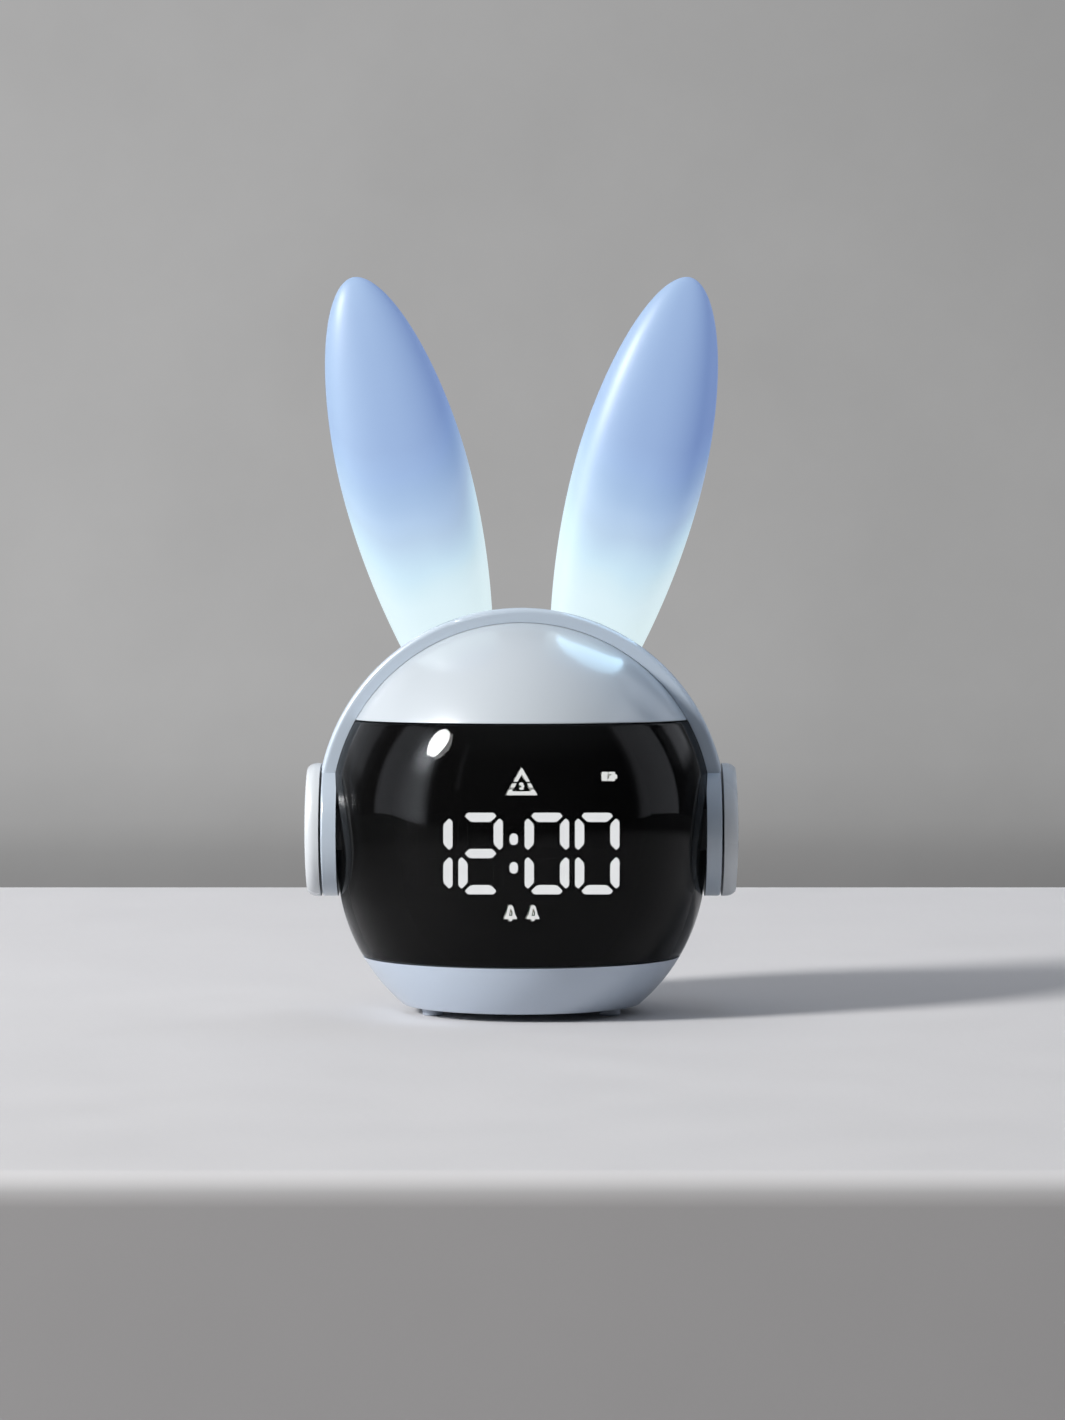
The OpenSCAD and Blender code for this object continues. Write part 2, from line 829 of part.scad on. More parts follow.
module ear_wires() {
    wire([
        on_ear_axis(plug_top - 0.5),
        on_ear_axis(0),
        on_ear_axis(-tube_drop),
        on_ear_axis(-tube_drop - 4) + [0, 2, 0],
        [main_post_x - 5, main_board_y + 1, main_high_z + 7],
        [main_post_x - 6, main_board_y + board_t + 3, main_high_z + 2],
        [main_post_x - 6, main_board_y + board_t + 3, main_high_z - connector_inset]
    ], wire_r, [1, 0.2, 0]);
}

module left_ear() { color(glow_blue) left_of() ear(); }
module right_ear() { color(glow_blue) ear(); }
module left_ear_socket() { color("white") left_of() ear_socket(); }
module right_ear_socket() { color("white") ear_socket(); }
module left_ear_nut() { color("silver") left_of() ear_nut(); }
module right_ear_nut() { color("silver") ear_nut(); }
module left_ear_board() { color("white") left_of() ear_board(); }
module right_ear_board() { color("white") ear_board(); }
module left_ear_leds() { color("#e8fbff") left_of() ear_leds(); }
module right_ear_leds() { color("#e8fbff") ear_leds(); }
module left_ear_wires() { color("firebrick") left_of() ear_wires(); }
module right_ear_wires() { color("firebrick") ear_wires(); }

// ---------------------------------------------------------------- display

// From the mask's flat back forwards; x and y of the drawing are x and z of the object
module on_screen(y) {
    translate([0, y, 0]) rotate([90, 0, 0]) children();
}

// One bar that lies along x with its outer side up, wider all round by grow
module bar(outer, inner, shift, grow) {
    half = bar_len / 2 + grow;
    side = bar_w / 2 + grow;
    polygon([
        [-half, shift], [outer - half, side], [half - outer, side],
        [half, shift], [half - inner, -side], [inner - half, -side]
    ]);
}

// Bar 0 is the top one, 1 to 5 follow clockwise and 6 is the middle one
module digit_bar(number, grow) {
    if (number == 6) bar((outer_cut + inner_cut) / 2, (outer_cut + inner_cut) / 2, 0, grow);
    if (number == 0) translate([0, digit_row]) bar(outer_cut, inner_cut, tip_shift, grow);
    if (number == 3) translate([0, -digit_row]) rotate(180) bar(outer_cut, inner_cut, tip_shift, grow);
    if (number == 1 || number == 2)
        translate([digit_w / 2, number == 1 ? upright_shift : -upright_shift])
            rotate(-90) bar(outer_cut, inner_cut, tip_shift, grow);
    if (number == 4 || number == 5)
        translate([-digit_w / 2, number == 5 ? upright_shift : -upright_shift])
            rotate(90) bar(outer_cut, inner_cut, tip_shift, grow);
}

function is_lit(place, number) = len(search(number, bars_of[shown_digits[place]])) > 0;

module digit_bars(lit, grow) {
    for (place = [0:3]) for (number = [0:6])
        if (is_lit(place, number) == lit)
            translate([digit_x[place], digits_z]) digit_bar(number, grow);
}

module colon_dots(grow) {
    for (up = [-1, 1]) translate([colon_x, digits_z + up * dot_rise]) {
        translate([-dot_w / 2 - grow, -dot_h / 4 - grow]) square([dot_w + 2 * grow, dot_h / 2 + 2 * grow]);
        translate([-dot_w / 4 - grow, -dot_h / 2 - grow]) square([dot_w / 2 + 2 * grow, dot_h + 2 * grow]);
        for (x = [-1, 1]) for (z = [-1, 1]) translate([x * dot_w / 4, z * dot_h / 4])
            circle(dot_w / 4 + grow);
    }
}

module sign_triangle(shrink) {
    side = norm([sign_w / 2, sign_h]);
    inside_r = sign_w * sign_h / (sign_w + 2 * side);
    share = (inside_r - shrink) / inside_r;
    polygon([
        [-sign_w / 2 * share, inside_r * (1 - share)],
        [sign_w / 2 * share, inside_r * (1 - share)],
        [0, inside_r + (sign_h - inside_r) * share]
    ]);
}

module sign_icon(grow) {
    translate([0, sign_base_z]) {
        difference() {
            sign_triangle(-grow);
            sign_triangle(sign_stroke + grow);
            translate([-sign_w / 2, sign_break_z + grow])
                square([sign_w, sign_break_h - 2 * grow]);
        }
        translate([0, sign_dot_z]) circle(sign_dot_r + grow);
    }
}

module charge_icon(grow) {
    half_h = charge_h / 2 + grow;
    pole_h = charge_h / 4 + grow;
    translate([charge_x, charge_z]) difference() {
        union() {
            translate([-charge_w / 2 - grow, -half_h])
                square([charge_w - charge_pole + 2 * grow, 2 * half_h]);
            translate([charge_w / 2 - charge_pole - charge_lap, -pole_h])
                square([charge_pole + charge_lap + grow, 2 * pole_h]);
        }
        polygon([
            [-0.75 + grow, -charge_h], [-0.35 - grow, -charge_h],
            [0.15 - grow, charge_h], [-0.25 + grow, charge_h]
        ]);
    }
}

module bell_icon(grow) {
    translate([0, 3.3]) circle(0.85 + grow);
    polygon([
        [-1.65 - grow, 0.7 - grow], [1.65 + grow, 0.7 - grow], [1.65 + grow, 0.9 + grow],
        [1.15 + grow, 1.9], [0.82 + grow, 3.3], [-0.82 - grow, 3.3], [-1.15 - grow, 1.9],
        [-1.65 - grow, 0.9 + grow]
    ]);
    translate([0, 0.55]) circle(0.5 + grow);
}

module all_icons(grow) {
    sign_icon(grow);
    charge_icon(grow);
    for (x = [-bell_x, bell_x]) translate([x, bell_base_z]) bell_icon(grow);
}

module lit_segments() {
    color("#eef0f2") on_screen(-screen_y + mask_t) linear_extrude(mask_t) {
        digit_bars(true, 0);
        colon_dots(0);
    }
}

module dark_segments() {
    color("#17181a") on_screen(-screen_y + mask_t) linear_extrude(mask_t) digit_bars(false, 0);
}

module display_icons() {
    color("#eef0f2") on_screen(-screen_y + mask_t) linear_extrude(mask_t) all_icons(0);
}

// Outline of the reflector and, with a margin, of the board behind it
module stack_outline(margin) {
    left = digit_x[0] - digit_w / 2 - bar_w / 2 - stack_margin / 2;
    right = digit_x[3] + digit_w / 2 + bar_w / 2 + stack_margin;
    low = digits_z - digit_row - bar_w / 2 - stack_margin / 2;
    high = sign_base_z + sign_h + stack_margin;
    translate([left - margin, low - margin])
        square([right - left + 2 * margin, high - low + 2 * margin]);
    translate([-bell_x - 4 - margin, bell_base_z - stack_margin - margin])
        square([2 * bell_x + 8 + 2 * margin, low - bell_base_z + 2 * stack_margin + 2 * margin]);
}

module display_mask() {
    color("#0b0b0d") difference() {
        union() {
            difference() {
                intersection() {
                    union() {
                        head_skin(chin_z - mask_lap, brow_z + mask_lap, mask_inset, mask_wall, 0);
                        intersection() {
                            head_solid(mask_inset + mask_wall / 2, 0);
                            at_shell_screws() facing_back(0, -head_r, 0)
                                cylinder(h = head_r - chassis_half - seat_gap, r = screw_boss_r);
                        }
                    }
                    front_half();
                }
                translate([-reach / 2, -screen_y - reach, 0]) cube(reach);
            }
            intersection() {
                head_solid(mask_inset, 0);
                translate([-reach / 2, -screen_y, chin_z - mask_lap]) cube([reach, mask_t,
                    brow_z - chin_z + 2 * mask_lap]);
            }
        }
        on_screen(-screen_y + 2 * mask_t) linear_extrude(3 * mask_t) {
            digit_bars(true, bar_gap);
            digit_bars(false, bar_gap);
            colon_dots(bar_gap);
            all_icons(bar_gap);
        }
        at_shell_screws() facing_back(0, screw_tip_y - 1, 0) cylinder(h = head_r, r = screw_r + seat_gap / 2);
        stem_holes(clip_r + 4 * seat_gap);
        ear_tube_holes();
    }
}

module display_reflector() {
    color("white") on_screen(reflector_back_y) linear_extrude(reflector_t) difference() {
        stack_outline(0);
        digit_bars(true, -bar_gap);
        digit_bars(false, -bar_gap);
        colon_dots(-bar_gap);
        translate([0, sign_base_z + sign_dot_z]) circle(sign_well_r);
        translate([charge_x, charge_z]) square(charge_well, center = true);
        for (x = [-bell_x, bell_x]) translate([x, bell_mid_z]) square(bell_well, center = true);
    }
}

module display_board() {
    color(board_green) on_screen(display_board_back_y) linear_extrude(board_t) stack_outline(0.5);
}

module led_at(x, z) {
    translate([x - led_w / 4, -led_d, z - led_w / 4]) cube([led_w / 2, led_d, led_w / 2]);
}

module segment_leds() {
    color("#f4e9a8") translate([0, display_board_y - seat_gap / 2, 0]) {
        for (place = [0:3]) {
            for (x = [-1, 1]) for (up = [-1, 1])
                led_at(digit_x[place] + x * digit_w / 2, digits_z + up * upright_shift);
            for (up = [-1, 0, 1]) led_at(digit_x[place], digits_z + up * digit_row);
        }
        for (up = [-1, 1]) led_at(colon_x, digits_z + up * dot_rise);
        led_at(0, sign_base_z + sign_dot_z);
        led_at(charge_x, charge_z);
        for (x = [-bell_x, bell_x]) led_at(x, bell_mid_z);
    }
}

module display_ribbon() {
    low_y = display_board_back_y + seat_gap;
    high_y = main_board_y - seat_gap;
    color("#e8e2cf") translate([-5, 0, 0]) rotate([90, 0, 90]) linear_extrude(10) polygon([
        [low_y, head_z - 3], [low_y + 0.5, head_z - 3], [low_y + 0.5, head_z + 4.5],
        [high_y - 0.5, head_z + 4.5], [high_y - 0.5, head_z - 2], [high_y, head_z - 2],
        [high_y, head_z + 5], [low_y, head_z + 5]
    ]);
}

// ---------------------------------------------------------------- frame plate and boards

module chassis() {
    color("#3c3f45") difference() {
        union() {
            intersection() {
                head_solid(chassis_inset, 0);
                translate([-reach / 2, -chassis_half, ledge_z + ledge_t + seat_gap])
                    cube([reach, chassis_t, chassis_top_z - ledge_z - ledge_t - seat_gap]);
            }
            for (x = [-1, 1]) for (z = display_post_z)
                facing_back(x * main_post_x, display_board_back_y + seat_gap, z)
                    cylinder(h = -display_board_back_y - seat_gap, r = main_post_r);
            for (x = [-1, 1]) for (z = [main_low_z + main_post_inset, main_high_z - main_post_inset])
                facing_back(x * main_post_x, 0, z)
                    cylinder(h = chassis_half + main_post_h, r = main_post_r);
        }
        translate([-window_half_w, -reach / 2, head_z + window_low])
            cube([2 * window_half_w, reach, window_high - window_low]);
        translate([-speaker_bay_half, -reach / 2, 0]) cube([2 * speaker_bay_half, reach, speaker_bay_z]);
        for (side = [0, 1]) mirror([side, 0, 0])
            translate([switch_back_x - seat_gap - board_t - seat_gap, -reach / 2, cup_z - clip_r - 1])
                cube([reach, reach, 2 * clip_r + 2]);
        at_shell_screws() facing_back(0, -head_r / 2, 0) cylinder(h = head_r, r = screw_bore_r);
        for (x = [-1, 1]) for (z = [main_low_z + main_post_inset, main_high_z - main_post_inset])
            facing_back(x * main_post_x, -1.5, z)
                cylinder(h = reach, r = board_screw_r + seat_gap / 2);
    }
}

module main_board() {
    color(board_green) difference() {
        translate([-main_half_w, main_board_y, main_low_z])
            cube([2 * main_half_w, board_t, main_high_z - main_low_z]);
        for (x = [-1, 1]) for (z = [main_low_z + main_post_inset, main_high_z - main_post_inset])
            facing_back(x * main_post_x, 0, z) cylinder(h = reach, r = board_hole_r);
    }
}

module main_chips() {
    back = main_board_y + board_t + seat_gap / 2;
    socket = [connector_w, connector_t, connector_h];
    high = main_high_z - connector_inset - connector_h;
    color("#222326") {
        for (chip = chips) translate([chip[0], back, head_z + chip[1]]) cube([chip[2], chip[4], chip[3]]);
        for (x = [-1, 1]) {
            translate([x * connector_x - connector_w / 2, back, high]) cube(socket);
            translate([x * plug_x - connector_w / 2, back, main_low_z + plug_rise]) cube(socket);
        }
        for (x = [-4, 3]) facing_back(x, back, head_z + can_rise) cylinder(h = can_h, r = can_r);
    }
}

module board_screw() {
    screw(board_screw_len, board_screw_r, 2 * board_screw_r, 1.2 * board_screw_r);
}

module board_screws() {
    color(steel) {
        for (x = [-1, 1]) for (z = [main_low_z + main_post_inset, main_high_z - main_post_inset])
            facing_back(x * main_post_x, main_board_y + board_t + seat_gap / 2, z) board_screw();
        at_panel_posts() translate([0, key_board_y - seat_gap / 2, 0])
            rotate([90, 0, 0]) board_screw();
    }
}

module battery_cell() {
    color("#3d7fc4") translate([0, cell_y, cell_z]) rotate([0, 90, 0]) {
        translate([0, 0, -cell_len / 2]) cylinder(h = cell_len, r = cell_r);
        cylinder(h = cell_len / 2 + 1, r = cell_r * 0.35);
    }
}

module battery_holder() {
    color("#3c3f45") difference() {
        intersection() {
            translate([-holder_half_w, chassis_half + seat_gap, holder_low_z])
                cube([2 * holder_half_w, holder_depth, holder_high_z - holder_low_z]);
            cylinder(h = reach, r = holder_corner_r);
        }
        translate([-cell_len / 2 - cell_gap, cell_y, cell_z]) rotate([0, 90, 0])
            cylinder(h = cell_len + 2 * cell_gap, r = cell_r + cell_gap);
    }
}

module battery_strap() {
    color("#18191b") intersection() {
        translate([-strap_w / 2, cell_y, cell_z]) rotate([0, 90, 0]) difference() {
            cylinder(h = strap_w, r = cell_r + cell_gap + strap_t);
            translate([0, 0, -1]) cylinder(h = strap_w + 2, r = cell_r + cell_gap);
        }
        translate([-strap_w, 0, holder_high_z + seat_gap]) cube([2 * strap_w, reach, reach]);
    }
}

module battery_wires() {
    color("firebrick") for (side = [0, 1]) mirror([side, 0, 0]) wire([
        [cell_len / 2 + wire_r + slide_gap, cell_y - cell_tab_shift, cell_z + cell_r * 0.88],
        [cell_len / 2 + wire_r + slide_gap, cell_y - cell_tab_shift, cell_z + cell_r + 1.3],
        [cell_len / 2 - 1.5, cell_y - cell_tab_shift - 1, cell_z + cell_r + 2.6],
        [main_post_x, main_board_y + 5, main_low_z + 3.5],
        [main_post_x - 4, main_board_y + 4, main_low_z + 4.5],
        [main_post_x - 4, main_board_y + 4, main_low_z + 5.8]
    ], wire_r, [0, 1, 0]);
}

// ---------------------------------------------------------------- rear panel and keys

module rear_panel() {
    flange_y = collar_end_y - seat_gap - panel_flange_t;
    color("#dde3ea") difference() {
        union() {
            difference() {
                union() {
                    facing_back(0, flange_y, head_z) linear_extrude(panel_y - flange_y) panel_outline(0);
                    facing_back(0, flange_y, head_z) linear_extrude(panel_flange_t)
                        panel_outline(panel_flange);
                }
                facing_back(0, 0, head_z) linear_extrude(panel_y - panel_t) panel_outline(-panel_rim_t);
            }
            at_panel_posts() facing_back(0, key_board_front_y + seat_gap, 0)
                cylinder(h = panel_y - panel_t / 2 - key_board_front_y - seat_gap, r = panel_post_r);
        }
        for (i = [-1.5:1:1.5]) facing_back(i * key_pitch, 0, head_z + key_row)
            cylinder(h = reach, r = key_r + slide_gap);
        translate([-control_x - slot_len() / 2, 0, head_z + control_row - slot_w / 2])
            cube([slot_len(), reach, slot_w]);
        facing_back(control_x, 0, head_z + control_row) linear_extrude(reach) stadium(usb_w, usb_h, 0.2);
        at_panel_posts() facing_back(0, 0, 0)
            cylinder(h = key_board_front_y + board_screw_len, r = board_screw_r + seat_gap / 2);
    }
}

// The panel's outline about its middle, wider all round by grow
module panel_outline(grow) {
    radius = panel_corner_r + grow;
    flat_w = panel_w / 2 - panel_corner_r;
    flat_h = panel_h / 2 - panel_corner_r;
    square([2 * flat_w, 2 * (flat_h + radius)], center = true);
    square([2 * (flat_w + radius), 2 * flat_h], center = true);
    for (x = [-flat_w, flat_w]) for (z = [-flat_h, flat_h]) translate([x, z]) circle(radius);
}

module at_panel_posts() {
    for (post = panel_posts) translate([post[0], 0, head_z + post[1]]) children();
}

function slot_len() = knob_neck_w + slide_travel + 2 * slide_gap;

// Flat shape with round ends, wider all round by grow
module stadium(width, height, grow) {
    end_x = (width - height) / 2;
    translate([-end_x, -height / 2 - grow]) square([2 * end_x, height + 2 * grow]);
    for (x = [-end_x, end_x]) translate([x, 0]) circle(height / 2 + grow);
}

module key(place) {
    color("#f1f4f8") facing_back(place * key_pitch, 0, head_z + key_row) rotate_extrude() {
        difference() {
            translate([0, key_flange_y]) square([key_r, panel_y + key_proud - key_flange_y]);
            translate([key_r - key_edge_r, panel_y + key_proud - key_edge_r]) difference() {
                square(2 * key_edge_r);
                circle(key_edge_r);
            }
        }
        translate([0, key_flange_y]) square([key_r + key_flange, key_flange_t]);
        translate([0, key_stem_end_y]) square([key_stem_r, key_flange_y - key_stem_end_y + 0.1]);
    }
}

module mode_key() { key(-1.5); }
module alarm_key() { key(-0.5); }
module down_key() { key(0.5); }
module up_key() { key(1.5); }

module key_switches() {
    color("#2a2a2c") for (i = [-1.5:1:1.5])
        translate([i * key_pitch, key_board_front_y + seat_gap / 2, head_z + key_row]) {
            translate([-key_switch_w / 2, 0, -key_switch_w / 2])
                cube([key_switch_w, key_switch_h, key_switch_w]);
            rotate([-90, 0, 0]) cylinder(h = key_switch_h + key_plunger_h - seat_gap / 2, r = key_plunger_r);
        }
}

module key_board() {
    color(board_green) difference() {
        translate([-key_board_half_w, key_board_y, head_z - key_board_half_h])
            cube([2 * key_board_half_w, board_t, 2 * key_board_half_h]);
        at_panel_posts() facing_back(0, 0, 0) cylinder(h = reach, r = board_hole_r);
    }
}

module key_ribbon() {
    low_y = main_board_y + board_t + seat_gap;
    high_y = key_board_y - seat_gap;
    color("#e8e2cf") translate([-4, 0, 0]) rotate([90, 0, 90]) linear_extrude(8) polygon([
        [low_y, head_z - 14], [low_y, head_z - 8], [low_y + 0.5, head_z - 8], [low_y + 0.5, head_z - 13.5],
        [high_y - 0.5, head_z - 13.5], [high_y - 0.5, head_z - 8], [high_y, head_z - 8],
        [high_y, head_z - 14]
    ]);
}

// Rests at its left-hand end and slides to the right
module power_knob() {
    knob_x = -control_x - slide_travel / 2;
    knob_y = key_board_front_y + power_body_t + 3 * seat_gap;
    color("#e9edf2") translate([knob_x, 0, head_z + control_row]) {
        translate([-knob_foot_w / 2, knob_y, -knob_foot_h / 2]) cube([knob_foot_w, knob_foot_t, knob_foot_h]);
        translate([-knob_neck_w / 2, knob_y, -knob_neck_h / 2])
            cube([knob_neck_w, panel_y - knob_y + knob_cap_h, knob_neck_h]);
        translate([-knob_cap / 2, panel_y + slide_gap, -knob_cap / 2]) difference() {
            cube([knob_cap, knob_cap_h, knob_cap]);
            for (x = [1:2]) translate([x * knob_cap / 3 - 0.2, knob_cap_h - 0.3, -1])
                cube([0.4, 1, knob_cap + 2]);
        }
    }
}

module power_switch() {
    color(steel) translate([-control_x - power_body_w / 2, key_board_front_y + seat_gap,
        head_z + control_row - power_body_h / 2]) cube([power_body_w, power_body_t, power_body_h]);
}

module usb_socket() {
    mouth_y = panel_y - usb_recess;
    color(steel) facing_back(control_x, mouth_y - usb_len, head_z + control_row) {
        difference() {
            linear_extrude(usb_len) stadium(usb_w, usb_h, 0);
            translate([0, 0, 1]) linear_extrude(usb_len) stadium(usb_w, usb_h, -usb_wall);
        }
        translate([-usb_tongue_w / 2, -usb_tongue_t / 2, 0.5])
            cube([usb_tongue_w, usb_tongue_t, usb_len - 1.5]);
        translate([-usb_w / 2, -usb_h / 2, key_board_front_y + seat_gap / 2 - mouth_y + usb_len])
            cube([usb_w, usb_h, 1]);
    }
}

// ---------------------------------------------------------------- loudspeaker and base

module speaker_frame() {
    low = foot_h + plate_t + seat_gap;
    back_r = speaker_r * magnet_share;
    color("#55585d") rotate_extrude() polygon([
        [speaker_r - 2.6, low], [speaker_r, low], [speaker_r, low + 1], [speaker_r - 1.4, low + 1],
        [back_r + 0.6, low + speaker_h * 0.55], [back_r + 0.6, low + speaker_h * 0.62],
        [2, low + speaker_h * 0.62], [2, low + speaker_h * 0.54], [back_r, low + speaker_h * 0.54],
        [speaker_r - 2.2, low + 0.9], [speaker_r - 2.6, low + 0.9]
    ]);
}

module speaker_cone() {
    low = foot_h + plate_t + 2 * seat_gap;
    color("#2b2b2b") rotate_extrude() polygon([
        [0, low + 2.2], [3, low + 1.9], [speaker_r - 4.5, low + 0.5], [speaker_r - 2.7, low + 0.1],
        [speaker_r - 2.7, low + 0.5], [speaker_r - 4.5, low + 0.9], [3.2, low + 2.5], [3, low + 3.8],
        [2.6, low + 3.8], [2.6, low + 2.6], [0, low + 2.7]
    ]);
}

module speaker_magnet() {
    low = foot_h + plate_t + 2 * seat_gap + speaker_h * 0.62;
    color("#8a8d92") translate([0, 0, low]) cylinder(h = speaker_h * 0.35, r = speaker_r * magnet_share);
}

module speaker_wires() {
    color("goldenrod") wire([
        [8.5, -3, ledge_z + 5.4],
        [11, -6, ledge_z + 7.5],
        [13, -9, ledge_z + 15],
        [12, -8, head_z - 14],
        [10, -4, head_z - 8],
        [8, 1, head_z - 6.5],
        [7.5, main_board_y - 0.3, head_z - 6]
    ], wire_r, [1, 0, 0]);
}

module base_plate() {
    color("#c3cedc") difference() {
        translate([0, 0, foot_h]) cylinder(h = plate_t, r = plate_r);
        at_plate_screws() {
            cylinder(h = reach, r = screw_bore_r);
            cylinder(h = foot_h + plate_sink, r = screw_sink_r);
        }
        at_feet() cylinder(h = foot_h + foot_plug_h + seat_gap, r = foot_plug_r + seat_gap / 2);
        for (ring = grille_rings) for (i = [0:ring[1] - 1]) rotate([0, 0, 360 * i / ring[1]])
            translate([ring[0], 0, 0]) cylinder(h = reach, r = grille_hole_r);
    }
}

module feet() {
    color("#9aa3ad") at_feet() rotate_extrude() {
        difference() {
            square([foot_r, foot_h]);
            translate([foot_r - foot_edge_r, foot_edge_r]) difference() {
                translate([0, -2 * foot_edge_r]) square(2 * foot_edge_r);
                circle(foot_edge_r);
            }
        }
        square([foot_plug_r, foot_h + foot_plug_h]);
    }
}

module base_screws() {
    color(steel) at_plate_screws() translate([0, 0, foot_h + plate_sink]) rotate([180, 0, 0])
        screw(plate_screw_len, screw_r, screw_head_r, plate_sink * 0.9);
}

module shell_screws() {
    color(steel) at_shell_screws() facing_back(0, screw_seat_y + seat_gap / 2, 0)
        screw(screw_seat_y - screw_tip_y, screw_r, screw_head_r, screw_head_h);
}

// ---------------------------------------------------------------- nodes

forehead_shell();
display_lens();
base_shell();
rear_shell();
headband();
left_cup_button();
right_cup_button();
left_button_clip();
right_button_clip();
left_cup_switch();
right_cup_switch();
left_switch_board();
right_switch_board();
left_ear();
right_ear();
left_ear_socket();
right_ear_socket();
left_ear_nut();
right_ear_nut();
left_ear_board();
right_ear_board();
left_ear_leds();
right_ear_leds();
left_ear_wires();
right_ear_wires();
display_mask();
lit_segments();
dark_segments();
display_icons();
display_reflector();
display_board();
segment_leds();
display_ribbon();
chassis();
main_board();
main_chips();
battery_cell();
battery_holder();
battery_strap();
battery_wires();
rear_panel();
mode_key();
alarm_key();
up_key();
down_key();
key_switches();
key_board();
key_ribbon();
power_knob();
power_switch();
usb_socket();
speaker_frame();
speaker_cone();
speaker_magnet();
speaker_wires();
base_plate();
feet();
base_screws();
shell_screws();
board_screws();
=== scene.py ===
import json
import math

import bpy
from mathutils import Matrix, Vector


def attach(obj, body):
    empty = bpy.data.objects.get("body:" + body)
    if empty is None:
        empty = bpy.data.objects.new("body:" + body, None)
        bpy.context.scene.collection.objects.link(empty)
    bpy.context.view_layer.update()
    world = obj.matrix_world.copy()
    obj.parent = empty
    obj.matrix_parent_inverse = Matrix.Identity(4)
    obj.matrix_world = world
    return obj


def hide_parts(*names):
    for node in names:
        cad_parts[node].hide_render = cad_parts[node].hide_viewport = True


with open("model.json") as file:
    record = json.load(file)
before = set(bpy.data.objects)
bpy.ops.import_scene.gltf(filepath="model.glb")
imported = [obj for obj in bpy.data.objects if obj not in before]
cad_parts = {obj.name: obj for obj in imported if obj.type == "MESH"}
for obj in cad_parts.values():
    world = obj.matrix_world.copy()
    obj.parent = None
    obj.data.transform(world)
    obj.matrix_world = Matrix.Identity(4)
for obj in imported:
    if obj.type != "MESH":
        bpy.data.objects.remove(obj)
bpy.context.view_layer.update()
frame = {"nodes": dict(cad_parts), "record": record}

MM = 0.001

# ---------------------------------------------------------------- sizes, in millimetres

# the head is a ball with a smaller one below it, joined by a straight stretch of skin
HEAD_R, HEAD_Z = 46.9, 49.2
JOWL_R, JOWL_DROP = 45.1, 12.6
JOWL_Z = HEAD_Z - JOWL_DROP
LEAN = math.asin((HEAD_R - JOWL_R) / JOWL_DROP)
WALL = 2.0
# the lens reaches from the chin to the brow
CHIN_Z, BROW_Z = 14.0, 71.6
# half of the gap at each seam, and the round of the outer edges along it
HALF_SEAM = 0.15
RIM_ROUND = 0.35
# the forehead is open by this radius at the top, under the headband
TOP_GAP = 2.0

# the ears stand on the headband and lean outwards
BAND_R = 49.9
EAR_X, EAR_TILT = 18.8, math.radians(14.8)
# how far the root of an ear's axis lies below the headband's curve
EAR_SINK = 1.1
EAR_RISE = math.sqrt(BAND_R ** 2 - EAR_X ** 2) - EAR_SINK
EAR_ROOT_Z = HEAD_Z + EAR_RISE
EAR_LEN, WIDE_AT = 88.5, 37.5
EAR_HALF, ROOT_HALF = 15.9, 12.05
# an ear's thickness as a share of its width
EAR_DEPTH = 0.6


# ---------------------------------------------------------------- node trees

# nearly all of a noise texture's values lie between these two
NOISE_LOW, NOISE_HIGH = 0.3, 0.7


class Tree:
    """Short calls that add nodes to a node tree."""

    def __init__(self, tree):
        self.tree = tree
        tree.nodes.clear()

    def node(self, kind, inputs=None, **settings):
        """A shader node; an input takes a plain value or the output of another node."""
        node = self.tree.nodes.new("ShaderNode" + kind)
        for key, value in settings.items():
            setattr(node, key, value)
        for key, value in (inputs or {}).items():
            if isinstance(value, bpy.types.NodeSocket):
                self.tree.links.new(value, node.inputs[key])
            else:
                node.inputs[key].default_value = value
        return node

    def calc(self, operation, *values):
        return self.node("Math", dict(enumerate(values)), operation=operation).outputs["Value"]

    def add(self, a, b):
        return self.calc("ADD", a, b)

    def times(self, a, b):
        return self.calc("MULTIPLY", a, b)

    def times_add(self, a, b, c):
        return self.calc("MULTIPLY_ADD", a, b, c)

    def inverse(self, a):
        """1 where the share a is 0, and 0 where it is 1."""
        return self.calc("SUBTRACT", 1.0, a)

    def spread(self, fac, low, high, start=NOISE_LOW, end=NOISE_HIGH, soft=False):
        """Runs from low to high while fac goes from start to end."""
        inputs = {"Value": fac, "From Min": start, "From Max": end, "To Min": low, "To Max": high}
        kind = "SMOOTHSTEP" if soft else "LINEAR"
        return self.node("MapRange", inputs, interpolation_type=kind).outputs["Result"]

    def ramp(self, fac, stops):
        """Colours that run into each other from stop to stop."""
        node = self.node("ValToRGB", {"Fac": fac})
        marks = node.color_ramp.elements
        for mark, (place, colour) in zip(marks, (stops[0], stops[-1])):
            mark.position = place
            mark.color = (*colour, 1)
        for place, colour in stops[1:-1]:
            marks.new(place).color = (*colour, 1)
        return node.outputs["Color"]

    def split(self, vector):
        """The x, y and z of a vector."""
        return self.node("SeparateXYZ", {"Vector": vector}).outputs


